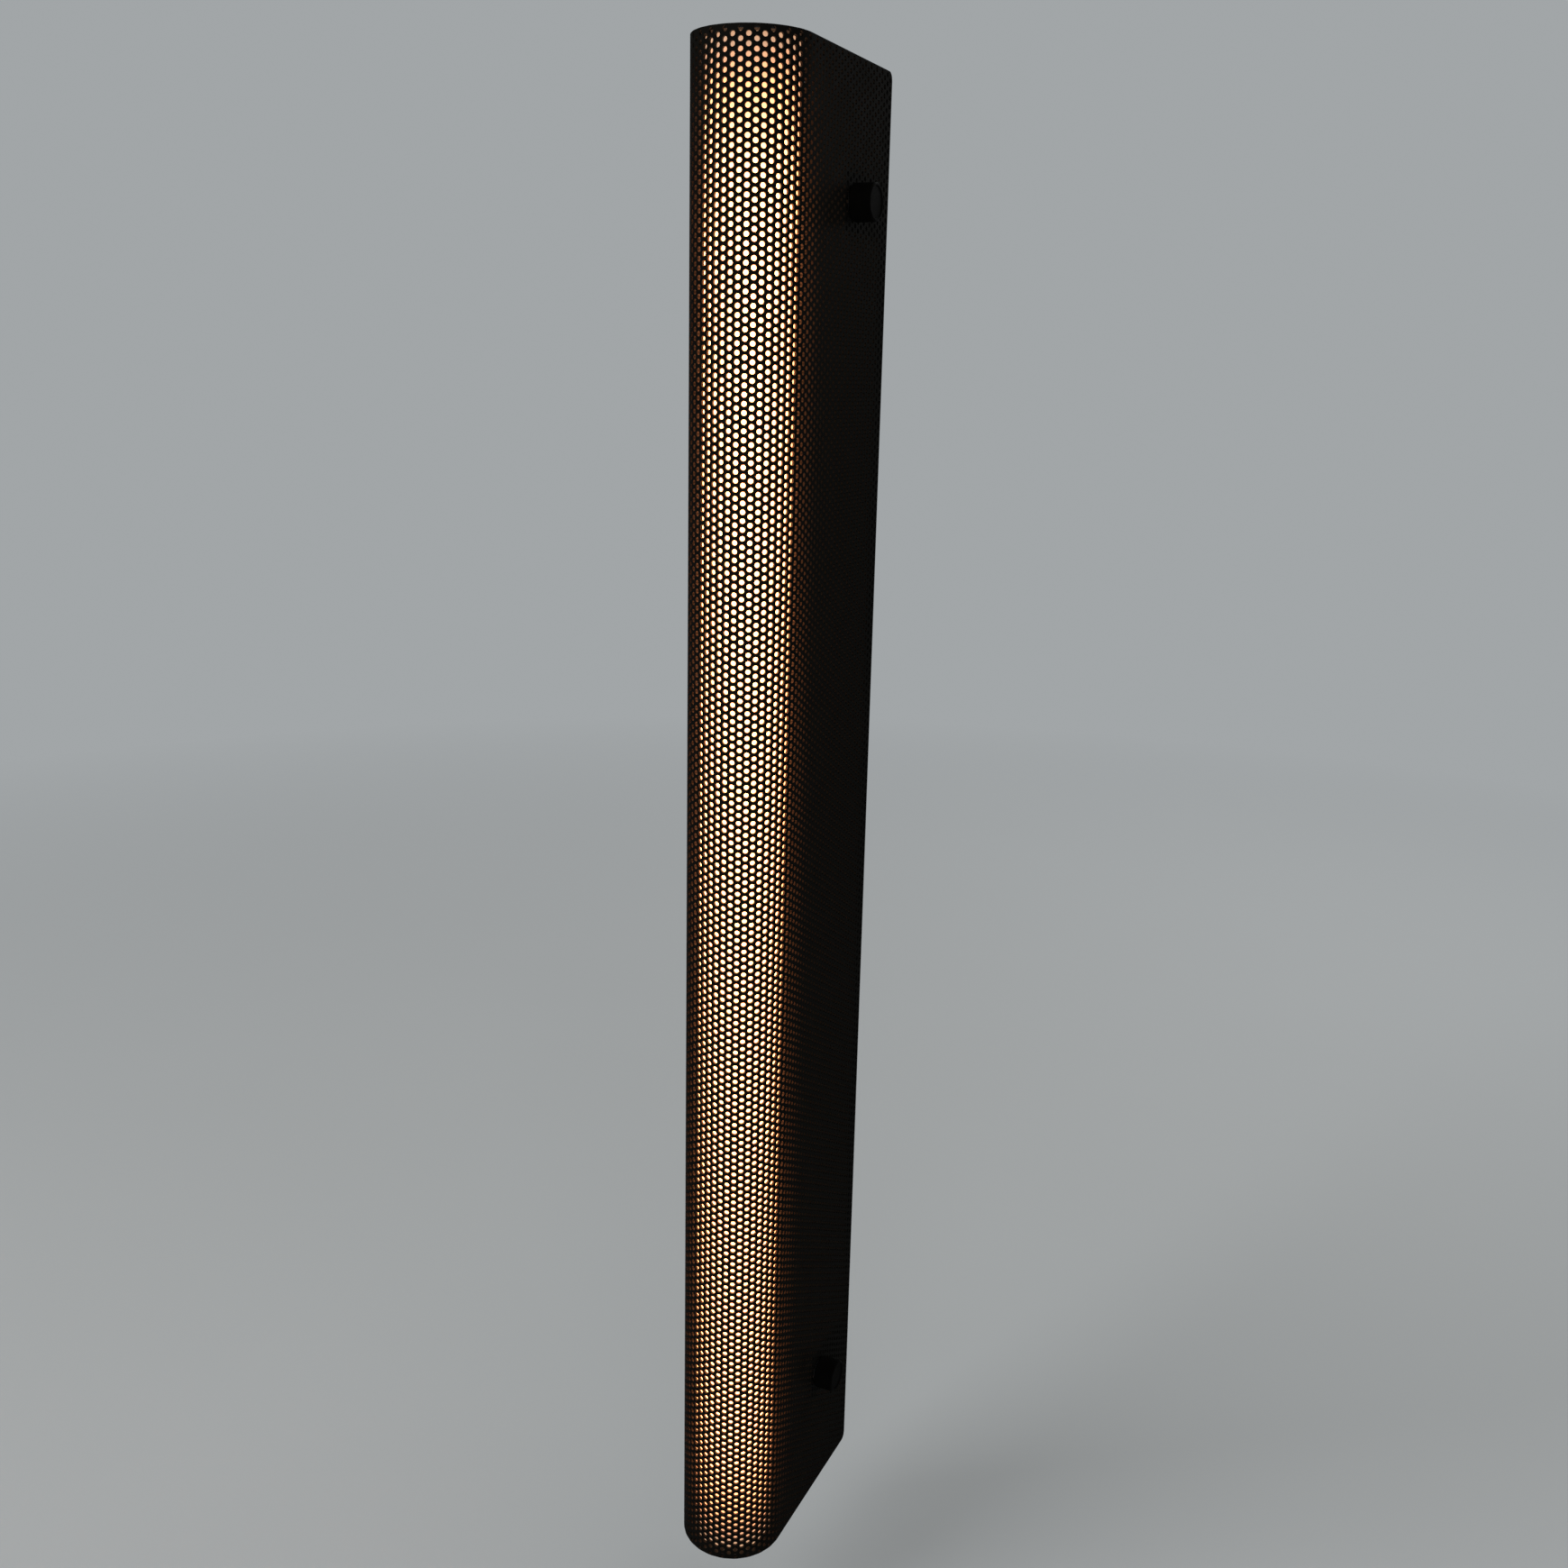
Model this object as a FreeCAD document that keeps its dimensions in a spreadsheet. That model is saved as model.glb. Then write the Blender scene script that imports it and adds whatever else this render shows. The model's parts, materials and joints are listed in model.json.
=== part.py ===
import FreeCAD, Part
import math
import os

import Sketcher

# Wall light with a perforated shade.
# Millimetres. The wall is the plane Y = 0, the light stands out from it towards -Y, +X is to the
# right for someone who faces it, and +Z is up. The origin is the middle of the wall fixing.
# The shade is a U of sheet metal: two flat sides that run forward from the wall, joined by a half
# round front. Inside it a wall plate carries the driver, and two end caps carry the glowing tube.

SIZES = [
    ("light_length", 970, "height of the shade, and of the whole light"),
    ("shade_radius", 35, "outer radius of the round front"),
    ("bend_to_wall", 121, "from the wall to the centre line of the round front"),
    ("shade_gauge", 1.5, "thickness of the shade's sheet"),
    ("shade_wall_gap", 1.5, "between the wall and the shade's back edges"),
    ("shade_corner", 5, "radius of the shade's four back corners"),
    ("slide_gap", 0.3, "between the shade and the sheet metal that it slides over"),
    ("plate_gauge", 1.5, "thickness of the wall plate's sheet"),
    ("plate_end_gap", 0.5, "between the wall plate's ends and the end caps"),
    ("flange_depth", 14, "how far the wall plate's long flanges reach from the wall"),
    ("ear_height", 34, "height of each ear that holds a knob's nut"),
    ("ear_front", 12, "from the knob's axis to the front edge of its ear"),
    ("wall_slot_spacing", 700, "between the two slots for the wall screws"),
    ("wall_slot_width", 5.5, "width of a wall screw slot"),
    ("wall_slot_length", 14, "end to end length of a wall screw slot"),
    ("upper_knob_from_end", 80, "from the upper end of the shade to the upper knobs' axis"),
    ("lower_knob_from_end", 95, "from the lower end of the shade to the lower knobs' axis"),
    ("knob_from_wall", 57, "from the wall to the knob's axis"),
    ("knob_diameter", 22, "diameter of a knob"),
    ("knob_height", 14, "height of a knob"),
    ("knob_edge", 0.8, "bevel on a knob's rims"),
    ("knob_dish", 0.6, "depth of the shallow dish in a knob's face"),
    ("knob_rim", 1.6, "width of the rim round that dish"),
    ("knob_gap", 0.2, "between a knob and its washer"),
    ("washer_diameter", 16, "diameter of the washer under a knob"),
    ("washer_thickness", 1, "thickness of the washer under a knob"),
    ("stud_diameter", 5, "diameter of the stud moulded into a knob"),
    ("stud_in_knob", 9, "length of the stud inside the knob"),
    ("stud_past_nut", 0.5, "length of the stud that stands out of its nut"),
    ("stud_gap", 0.2, "round a stud in the shade and in the washer"),
    ("thread_gap", 0.05, "radial play between a screw thread and its nut or hole"),
    ("nut_size", 16, "side of the square nut behind an ear"),
    ("nut_thickness", 2.5, "thickness of that nut"),
    ("key_size", 8, "side of the nut's square key, which sits in the ear's notch"),
    ("key_gap", 0.2, "round the key in its notch, and between nut and ear"),
    ("cap_gauge", 2, "thickness of the end caps' sheet"),
    ("cap_gap", 0.5, "between the end caps and the shade's inner face"),
    ("tab_width", 44, "width of the folded tab on an end cap"),
    ("tab_length", 26, "length of that tab"),
    ("tab_stud_spacing", 28, "between the two studs that hold a tab"),
    ("tab_stud_from_end", 14, "from the end of the light to those studs"),
    ("tube_diameter", 56, "outer diameter of the glowing tube"),
    ("tube_wall", 2, "wall of the glowing tube"),
    ("tube_end_gap", 0.3, "between the tube's ends and the end caps"),
    ("seat_length", 14, "length of the plugs that hold the tube"),
    ("seat_gap", 0.3, "radial play between plug and tube"),
    ("socket_depth", 10, "depth of the square socket in a plug"),
    ("socket_gap", 0.2, "play round the lamp carrier in its socket"),
    ("seat_screw_diameter", 3, "diameter of the screws that hold a plug"),
    ("seat_screw_head", 6, "diameter of their countersunk heads"),
    ("seat_screw_length", 9, "length of those screws"),
    ("seat_screw_spacing", 32, "between the two screws in a plug"),
    ("carrier_side", 14, "side of the square lamp carrier"),
    ("carrier_wall", 1.5, "wall of the lamp carrier"),
    ("board_width", 9, "width of a lamp board"),
    ("board_thickness", 1, "thickness of a lamp board"),
    ("board_end_gap", 30, "from the end of the light to the end of a lamp board"),
    ("chip_size", 3, "side of a lamp chip"),
    ("chip_height", 0.8, "height of a lamp chip"),
    ("chip_pitch", 15, "between the lamp chips"),
    ("driver_start", 45, "from the origin up to the driver"),
    ("driver_length", 190, "length of the driver's case"),
    ("driver_width", 30, "width of the driver's base"),
    ("driver_height", 21, "height of the driver's case"),
    ("driver_wall", 1.2, "wall of the driver's case"),
    ("driver_base_height", 12, "height of the driver's base"),
    ("driver_lap", 3, "how far the cover laps over the base"),
    ("case_gap", 0.2, "play between the driver's parts"),
    ("driver_ear_length", 12, "length of the driver's fixing ears"),
    ("driver_ear_width", 14, "width of the driver's fixing ears"),
    ("rail_height", 3, "height of the rails under the driver's board"),
    ("rail_width", 1.5, "width of the rails under the driver's board"),
    ("circuit_thickness", 1.6, "thickness of the driver's circuit board"),
    ("core_width", 20, "width of the transformer's core"),
    ("core_length", 16, "length of the transformer's core"),
    ("core_height", 7, "height of the transformer's core"),
    ("core_leg", 3, "thickness of the core's outer legs"),
    ("core_middle", 6, "width of the core's middle leg"),
    ("coil_build", 2.5, "thickness of the winding above and below the middle leg"),
    ("can_diameter", 10, "diameter of the driver's capacitors"),
    ("can_length", 18, "length of the driver's capacitors"),
    ("can_spacing", 26, "between the two capacitors' middles"),
    ("stud_head", 6, "diameter of a plate stud's pressed head"),
    ("plate_stud", 4, "diameter of a plate stud"),
    ("plate_stud_length", 9, "length of a plate stud in front of the plate"),
    ("fixing_gap", 0.25, "round a plate stud in what it holds"),
    ("fixing_nut_width", 7, "width across the flats of the nuts on the plate studs"),
    ("fixing_nut_height", 3.2, "height of those nuts"),
    ("cable_bore", 9, "bore of the rubber bush for the mains cable"),
    ("bush_wall", 3.5, "wall of that bush inside the wall plate's hole"),
    ("bush_lap", 3, "how far the bush's flange laps over the plate"),
    ("bush_thickness", 2, "thickness of the bush's flange"),
    ("block_drop", 45, "from the origin down to the terminal block"),
    ("block_width", 38, "width of the terminal block"),
    ("block_length", 22, "height of the terminal block on the wall"),
    ("block_height", 16, "how far the terminal block stands out"),
    ("block_ear_width", 10, "width of each of its fixing ears"),
    ("block_ear_height", 4, "thickness of its fixing ears"),
    ("pole_pitch", 12, "between the terminal block's poles"),
    ("clamp_size", 8, "side of a pole's brass clamp"),
    ("clamp_length", 17, "length of a pole's brass clamp"),
    ("clamp_gap", 0.2, "play round a brass clamp"),
    ("clamp_play", 0.7, "round a wire in its clamp"),
    ("clamp_screw", 3, "diameter of a terminal screw"),
    ("clamp_screw_spacing", 10, "between the two screws of a pole"),
    ("clamp_screw_head", 4.4, "diameter of a terminal screw's head"),
    ("wire_diameter", 2.6, "diameter of a single insulated wire"),
    ("wire_in_clamp", 6, "length of wire inside a clamp"),
    ("earth_offset", 23, "from the middle of the plate to the earth stud, sideways"),
    ("earth_rise", 14, "from the origin up to the earth stud"),
    ("tag_diameter", 8, "diameter of the earth wire's ring tag"),
    ("tag_thickness", 1, "thickness of that tag"),
    ("tag_neck", 9, "from the centre of the tag to the end of its neck"),
    ("lead_diameter", 4, "diameter of the lead from the driver to the lamp boards"),
    ("lead_offset", 12, "from the middle of the plate to that lead, sideways"),
    ("lead_from_end", 26, "from the end of the light to where the lead enters the tube"),
    ("lead_gap", 0.2, "round the lead in its clips and its bush"),
    ("clip_width", 10, "width of a lead clip"),
    ("clip_length", 7, "length of a lead clip"),
    ("clip_height", 8, "how far a lead clip stands off the plate"),
    ("clips_from_end", 85, "from the end of the light to the first lead clip"),
    ("lead_step", 18, "length of each short run where the lead drops to the plate"),
    ("lead_bend", 30, "from the first clip to the corner where the lead leaves the plate"),
    ("lead_bush_run", 11, "from the tube's back to the lead's corners before and behind it"),
    ("tube_bush_wall", 0.8, "wall of the small bush inside the tube's hole"),
    ("tube_bush_lap", 1.5, "how far that bush's flange laps over the tube"),
    ("tube_bush_thickness", 1.4, "thickness of that bush's flange"),
    ("link_thickness", 0.6, "thickness of the strap that joins the two lamp boards"),
    ("link_length", 5, "height of that strap"),
]

CAPACITORS = 2
LEAD_CLIPS = 3
POLES = 3
HALF_DIAGONAL_SHARE = math.sqrt(0.5)
ARC_SHARE = 0.45
WIRE_STRAIGHT_SHARE = 0.8
EARTH_STRAIGHT_SHARE = 0.4
LEAD_SWING_SHARES = (0.7, 0.5)
LEFT, RIGHT = -1, 1
UP, DOWN = 1, -1
SIDES = {"left": LEFT, "right": RIGHT}
ENDS = {"upper": UP, "lower": DOWN}

doc = FreeCAD.newDocument("MeshWallLight")
sheet = doc.addObject("Spreadsheet::Sheet", "Sizes")
for row, (alias, value, note) in enumerate(SIZES, start=1):
    sheet.set(f"A{row}", note)
    sheet.set(f"B{row}", str(value))
    sheet.setAlias(f"B{row}", alias)
doc.recompute()


class Length:
    """A length that knows both its number and the sheet expression that gives it."""

    def __init__(self, number, formula):
        self.number = number
        self.formula = formula

    def joined(self, sign, other, number):
        other_formula = other.formula if isinstance(other, Length) else repr(other)
        return Length(number, f"({self.formula} {sign} {other_formula})")

    def __add__(self, other):
        return self.joined("+", other, self.number + number_of(other))

    def __sub__(self, other):
        return self.joined("-", other, self.number - number_of(other))

    def __mul__(self, factor):
        return self.joined("*", factor, self.number * factor)

    def __truediv__(self, divisor):
        return self.joined("/", divisor, self.number / divisor)

    def __neg__(self):
        return Length(-self.number, f"(-1 * {self.formula})")

    __rmul__ = __mul__


def number_of(value):
    return value.number if isinstance(value, Length) else value


class Sizes:
    """The sheet's cells by alias, as lengths."""

    def __getattr__(self, alias):
        return Length(float(sheet.get(alias)), f"Sizes.{alias}")


size = Sizes()
ZERO = Length(0.0, "0")
pieces = {}


def bind(feature, prop, value):
    """Sets a property to a length and ties it to the sheet."""
    if isinstance(value, Length):
        feature.setExpression(prop, value.formula)
    elif "." not in prop:
        setattr(feature, prop, value)


def place(feature, base, axis=(0, 0, 1), angle=0):
    """Places a feature: its turn first, then its base tied to the sheet."""
    turn = FreeCAD.Rotation(FreeCAD.Vector(*axis), angle)
    feature.Placement = FreeCAD.Placement(FreeCAD.Vector(*map(number_of, base)), turn)
    for letter, value in zip("xyz", base):
        bind(feature, f"Placement.Base.{letter}", value)


def keep(node, feature):
    """Names a finished sub-part, which is written to its own file at the end."""
    feature.Label = node
    pieces[node] = feature
    return feature


def box(x, y, z):
    """A box between two lengths on each axis."""
    solid = doc.addObject("Part::Box", "Box")
    for prop, (low, high) in zip(("Length", "Width", "Height"), (x, y, z)):
        bind(solid, prop, high - low)
    place(solid, (x[0], y[0], z[0]))
    return solid


AXES = {"x": ((0, 1, 0), 90), "y": ((1, 0, 0), -90), "z": ((0, 0, 1), 0)}


def along(axis, across, start):
    """The base of a round piece that starts at start on the axis and is centred on across."""
    if axis == "x":
        return (start, across[0], across[1])
    if axis == "y":
        return (across[0], start, across[1])
    return (across[0], across[1], start)


def rod(axis, across, span, diameter):
    """A cylinder along an axis, over a span on that axis."""
    solid = doc.addObject("Part::Cylinder", "Rod")
    bind(solid, "Radius", diameter / 2)
    bind(solid, "Height", span[1] - span[0])
    place(solid, along(axis, across, span[0]), *AXES[axis])
    return solid


def hexagon(axis, across, span, width):
    """A hexagonal prism along an axis, by its width across the flats."""
    solid = doc.addObject("Part::Prism", "Hexagon")
    solid.Polygon = 6
    bind(solid, "Circumradius", width / math.sqrt(3))
    bind(solid, "Height", span[1] - span[0])
    place(solid, along(axis, across, span[0]), *AXES[axis])
    return solid


def cone(axis, across, span, diameters):
    """A cone along an axis, from its first diameter to its second."""
    solid = doc.addObject("Part::Cone", "Cone")
    bind(solid, "Radius1", diameters[0] / 2)
    bind(solid, "Radius2", diameters[1] / 2)
    bind(solid, "Height", span[1] - span[0])
    place(solid, along(axis, across, span[0]), *AXES[axis])
    return solid


def fuse(*shapes):
    if len(shapes) == 1:
        return shapes[0]
    joined = doc.addObject("Part::MultiFuse", "Joined")
    joined.Shapes = list(shapes)
    joined.Refine = True
    return joined


def cut(base, *tools):
    rest = doc.addObject("Part::Cut", "Rest")
    rest.Base = base
    rest.Tool = fuse(*tools)
    return rest


def group(members):
    """Separate solids that share one node."""
    together = doc.addObject("Part::Compound", "Group")
    together.Links = list(members)
    return together


def new_body(node):
    body = doc.addObject("PartDesign::Body", "Body")
    return keep(node, body)


def sketch_on(body, role, offset=ZERO):
    """A sketch on one of the body's origin planes, moved along that plane's normal."""
    sketch = body.newObject("Sketcher::SketchObject", "Sketch")
    plane = [one for one in body.Origin.OriginFeatures if one.Role == role][0]
    sketch.AttachmentSupport = [(plane, "")]
    sketch.MapMode = "FlatFace"
    sketch.AttachmentOffset = FreeCAD.Placement(
        FreeCAD.Vector(0, 0, number_of(offset)), FreeCAD.Rotation()
    )
    bind(sketch, "AttachmentOffset.Base.z", offset)
    return sketch


def flat(point):
    return FreeCAD.Vector(number_of(point[0]), number_of(point[1]), 0)


def fix_point(sketch, edge, end, point):
    """Ties a sketch point to the sheet, measured from the sketch's origin."""
    for kind, value in zip(("DistanceX", "DistanceY"), point):
        constraint = Sketcher.Constraint(kind, -1, 1, edge, end, number_of(value))
        index = sketch.addConstraint(constraint)
        if isinstance(value, Length):
            sketch.setExpression(f"Constraints[{index}]", value.formula)


def arc_through(start, centre, end, turn):
    """An arc between two points: turn is 1 for counter-clockwise, -1 for clockwise."""
    first, last = (start, end) if turn > 0 else (end, start)
    radius = (flat(start) - flat(centre)).Length
    angles = []
    for point in (first, last):
        arm = flat(point) - flat(centre)
        angles.append(math.atan2(arm.y, arm.x))
    if angles[1] <= angles[0]:
        angles[1] += 2 * math.pi
    circle = Part.Circle(flat(centre), FreeCAD.Vector(0, 0, 1), radius)
    return Part.ArcOfCircle(circle, *angles)


def add_outline(sketch, points, arcs=None):
    """A closed outline. arcs gives, for the edge that leaves a point, its centre and turn."""
    arcs = arcs or {}
    edges = []
    for index, start in enumerate(points):
        end = points[(index + 1) % len(points)]
        if index in arcs:
            centre, turn = arcs[index]
            edge = sketch.addGeometry(arc_through(start, centre, end, turn), False)
            ends = (1, 2) if turn > 0 else (2, 1)
        else:
            edge = sketch.addGeometry(Part.LineSegment(flat(start), flat(end)), False)
            ends = (1, 2)
        edges.append((edge, ends))
    for (edge, ends), (after, after_ends) in zip(edges, edges[1:] + edges[:1]):
        sketch.addConstraint(
            Sketcher.Constraint("Coincident", edge, ends[1], after, after_ends[0])
        )
    for (edge, ends), point in zip(edges, points):
        fix_point(sketch, edge, ends[0], point)
    for index, (centre, turn) in arcs.items():
        height = Sketcher.Constraint(
            "DistanceY", -1, 1, edges[index][0], 3, number_of(centre[1])
        )
        constraint = sketch.addConstraint(height)
        sketch.setExpression(f"Constraints[{constraint}]", centre[1].formula)


def add_rectangle(sketch, x, y):
    add_outline(sketch, [(x[0], y[0]), (x[1], y[0]), (x[1], y[1]), (x[0], y[1])])


def add_circle(sketch, centre, diameter):
    radius = diameter / 2
    circle = Part.Circle(flat(centre), FreeCAD.Vector(0, 0, 1), number_of(radius))
    edge = sketch.addGeometry(circle, False)
    fix_point(sketch, edge, 3, centre)
    index = sketch.addConstraint(Sketcher.Constraint("Radius", edge, number_of(radius)))
    sketch.setExpression(f"Constraints[{index}]", radius.formula)


def add_slot(sketch, centre, width, length):
    """A slot with round ends that runs along the sketch's second axis."""
    radius = width / 2
    reach = length / 2 - radius
    low, high = centre[1] - reach, centre[1] + reach
    left, right = centre[0] - radius, centre[0] + radius
    corners = [(right, low), (right, high), (left, high), (left, low)]
    ends = {1: ((centre[0], high), 1), 3: ((centre[0], low), 1)}
    add_outline(sketch, corners, ends)


def pad(body, sketch, length):
    feature = body.newObject("PartDesign::Pad", "Pad")
    feature.Profile = sketch
    bind(feature, "Length", length)
    return feature


def pocket(body, sketch, length=None, forward=False):
    """Cuts away material behind the sketch, or in front of it along its normal."""
    before = body.Tip
    feature = body.newObject("PartDesign::Pocket", "Pocket")
    feature.Profile = sketch
    feature.Reversed = forward
    if length is None:
        feature.Type = "ThroughAll"
    else:
        bind(feature, "Length", length)
    doc.recompute()
    if feature.Shape.Volume >= before.Shape.Volume:
        raise ValueError(f"a pocket in {body.Label} cuts nothing")
    return feature


# Where things lie, worked out once from the sizes.
half_length = size.light_length / 2
inner_radius = size.shade_radius - size.shade_gauge
plate_half_width = inner_radius - size.slide_gap
plate_half_length = half_length - size.cap_gauge - size.plate_end_gap
plate_face = -size.plate_gauge
ear_inner = plate_half_width - size.plate_gauge
knob_heights = {
    UP: half_length - size.upper_knob_from_end,
    DOWN: -(half_length - size.lower_knob_from_end),
}
tube_bore = size.tube_diameter - size.tube_wall * 2
cap_inner_face = half_length - size.cap_gauge
seat_inner_face = cap_inner_face - size.seat_length
tube_back = -(size.bend_to_wall - size.tube_diameter / 2)
notch_width = size.key_size + size.key_gap * 2
lead_entry = half_length - size.lead_from_end
tab_stud_height = half_length - size.tab_stud_from_end
driver_end = size.driver_start + size.driver_length
lead_start = driver_end + size.driver_wall + size.case_gap
earth_place = (-size.earth_offset, size.earth_rise)
fixing_hole = size.plate_stud + size.fixing_gap * 2
cable_hole = size.cable_bore + size.bush_wall * 2
tube_bush_hole = size.lead_diameter + (size.lead_gap + size.tube_bush_wall) * 2


def signed(sign, value):
    return value if sign > 0 else -value


def span(sign, near, far):
    """Two distances from the middle, in order, on one side of it."""
    return (near, far) if sign > 0 else (-far, -near)


def tab_studs():
    """Places (x, z) of the studs behind the end caps' tabs."""
    return [
        (signed(side, size.tab_stud_spacing / 2), signed(end, tab_stud_height))
        for end in ENDS.values()
        for side in SIDES.values()
    ]


def driver_studs():
    """Places of the studs at the driver's two ears."""
    half_ear = size.driver_ear_length / 2
    return [(ZERO, size.driver_start - half_ear), (ZERO, driver_end + half_ear)]


def block_studs():
    """Places of the studs at the terminal block's two ears."""
    reach = size.block_width / 2 + size.block_ear_width / 2
    return [(signed(side, reach), -size.block_drop) for side in SIDES.values()]


def mesh_shade():
    """The folded sheet: a U in plan, holes for the knobs' studs, rounded back corners."""
    body = new_body("mesh_shade")
    outer, inner = size.shade_radius, inner_radius
    back, bend = -size.shade_wall_gap, -size.bend_to_wall
    outline = [
        (-outer, back), (-outer, bend), (outer, bend), (outer, back),
        (inner, back), (inner, bend), (-inner, bend), (-inner, back),
    ]
    sketch = sketch_on(body, "XY_Plane", -half_length)
    add_outline(sketch, outline, {1: ((ZERO, bend), 1), 5: ((ZERO, bend), -1)})
    pad(body, sketch, size.light_length)
    holes = sketch_on(body, "YZ_Plane", -size.shade_radius)
    for end in ENDS.values():
        place_on_side = (-size.knob_from_wall, knob_heights[end])
        add_circle(holes, place_on_side, size.stud_diameter + size.stud_gap * 2)
    holed = pocket(body, holes, forward=True)
    corners = body.newObject("PartDesign::Fillet", "Corners")
    corners.Base = (holed, back_corner_edges(holed.Shape, back))
    bind(corners, "Radius", size.shade_corner)


def back_corner_edges(shape, back):
    """Names of the four short edges across the sheet at the ends of its back edges."""
    names = []
    for index, edge in enumerate(shape.Edges, start=1):
        middle = edge.CenterOfMass
        at_back = abs(middle.y - back.number) < size.shade_gauge.number / 2
        at_end = abs(abs(middle.z) - half_length.number) < size.shade_gauge.number / 2
        if at_back and at_end:
            names.append(f"Edge{index}")
    return names


def wall_plate():
    """The folded channel on the wall, with an ear at each knob and holes for what it carries."""
    body = new_body("wall_plate")
    wide, inside = plate_half_width, ear_inner
    deep = -size.flange_depth
    outline = [
        (-wide, ZERO), (-wide, deep), (-inside, deep), (-inside, plate_face),
        (inside, plate_face), (inside, deep), (wide, deep), (wide, ZERO),
    ]
    sketch = sketch_on(body, "XY_Plane", -plate_half_length)
    add_outline(sketch, outline)
    pad(body, sketch, plate_half_length * 2)
    for side in SIDES.values():
        near, far = span(side, ear_inner, plate_half_width)
        ears = sketch_on(body, "YZ_Plane", near)
        for end in ENDS.values():
            add_outline(ears, ear_outline(knob_heights[end]))
        pad(body, ears, far - near)
    holes = sketch_on(body, "XZ_Plane")
    add_circle(holes, (ZERO, ZERO), cable_hole)
    for end in ENDS.values():
        middle = (ZERO, signed(end, size.wall_slot_spacing / 2))
        add_slot(holes, middle, size.wall_slot_width, size.wall_slot_length)
    for stud in tab_studs() + driver_studs() + block_studs() + [earth_place]:
        add_circle(holes, stud, size.stud_head + size.thread_gap * 2)
    pocket(body, holes, forward=True)


def ear_outline(middle):
    """An ear's outline in the side view, with a notch that is open to the front."""
    front = -(size.knob_from_wall + size.ear_front)
    notch_end = -(size.knob_from_wall - notch_width / 2)
    half_ear, half_notch = size.ear_height / 2, notch_width / 2
    return [
        (-size.flange_depth, middle - half_ear),
        (-size.flange_depth, middle + half_ear),
        (front, middle + half_ear),
        (front, middle + half_notch),
        (notch_end, middle + half_notch),
        (notch_end, middle - half_notch),
        (front, middle - half_notch),
        (front, middle - half_ear),
    ]


def end_cap(node, end):
    """The flat plate that closes one end, with a folded tab that lies on the wall plate."""
    body = new_body(node)
    wide = inner_radius - size.cap_gap
    bend = -size.bend_to_wall
    outline = [(-wide, plate_face), (-wide, bend), (wide, bend), (wide, plate_face)]
    plan = sketch_on(body, "XY_Plane", cap_inner_face)
    add_outline(plan, outline, {1: ((ZERO, bend), 1)})
    pad(body, plan, size.cap_gauge)
    tab_plan = sketch_on(body, "XY_Plane", half_length - size.tab_length)
    half_tab = size.tab_width / 2
    add_rectangle(tab_plan, (-half_tab, half_tab), (plate_face - size.cap_gauge, plate_face))
    pad(body, tab_plan, size.tab_length)
    holes = sketch_on(body, "XZ_Plane")
    for side in SIDES.values():
        middle = (signed(side, size.tab_stud_spacing / 2), tab_stud_height)
        add_circle(holes, middle, fixing_hole)
    pocket(body, holes, forward=True)
    screw_places = sketch_on(body, "XY_Plane", half_length)
    for side in SIDES.values():
        middle = (signed(side, size.seat_screw_spacing / 2), -size.bend_to_wall)
        add_circle(screw_places, middle, size.seat_screw_diameter + size.stud_gap * 2)
    holed = pocket(body, screw_places)
    sunk = body.newObject("PartDesign::Chamfer", "Sunk")
    sunk.Base = (holed, sunk_hole_edges(holed.Shape))
    bind(sunk, "Size", (size.seat_screw_head - size.seat_screw_diameter) / 2)
    turn_to_end(body, end)


def sunk_hole_edges(shape):
    """Names of the screw holes' edges on an end cap's outer face."""
    hole_radius = (size.seat_screw_diameter / 2 + size.stud_gap).number
    names = []
    for index, edge in enumerate(shape.Edges, start=1):
        round_edge = isinstance(edge.Curve, Part.Circle)
        on_face = abs(edge.CenterOfMass.z - half_length.number) < size.cap_gauge.number / 2
        if round_edge and on_face and abs(edge.Curve.Radius - hole_radius) < size.thread_gap.number:
            names.append(f"Edge{index}")
    return names


def turn_to_end(feature, end):
    """Leaves a piece at the upper end, or turns it about Y to the lower one."""
    place(feature, (0, 0, 0), (0, 1, 0), 0 if end > 0 else 180)


def tube_seat(node, end):
    """The plug inside the tube's end, with a square socket for the lamp carrier."""
    body = new_body(node)
    axis = (ZERO, -size.bend_to_wall)
    plan = sketch_on(body, "XY_Plane", seat_inner_face)
    add_circle(plan, axis, tube_bore - size.seat_gap * 2)
    pad(body, plan, size.seat_length)
    socket = sketch_on(body, "XY_Plane", seat_inner_face)
    add_outline(socket, diamond(size.carrier_side + size.socket_gap * 2))
    pocket(body, socket, size.socket_depth, forward=True)
    screws = sketch_on(body, "XY_Plane", cap_inner_face)
    for side in SIDES.values():
        middle = (signed(side, size.seat_screw_spacing / 2), -size.bend_to_wall)
        add_circle(screws, middle, size.seat_screw_diameter + size.thread_gap * 2)
    pocket(body, screws, size.seat_screw_length)
    turn_to_end(body, end)


def diamond(side):
    """A square on the tube's axis that stands on one corner."""
    reach = side * HALF_DIAGONAL_SHARE
    middle = -size.bend_to_wall
    return [(reach, middle), (ZERO, middle + reach), (-reach, middle), (ZERO, middle - reach)]


def seat_screws():
    """Countersunk screws through the end caps into the plugs."""
    screws = []
    taper = (size.seat_screw_head - size.seat_screw_diameter) / 2
    head_bottom = half_length - taper
    tip = half_length - size.seat_screw_length
    for end in ENDS.values():
        for side in SIDES.values():
            axis = (signed(side, size.seat_screw_spacing / 2), -size.bend_to_wall)
            head = cone("z", axis, (head_bottom, half_length),
                        (size.seat_screw_diameter, size.seat_screw_head))
            shank = rod("z", axis, (tip, head_bottom), size.seat_screw_diameter)
            screw = fuse(head, shank)
            turn_to_end(screw, end)
            screws.append(screw)
    keep("seat_screws", group(screws))


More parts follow.
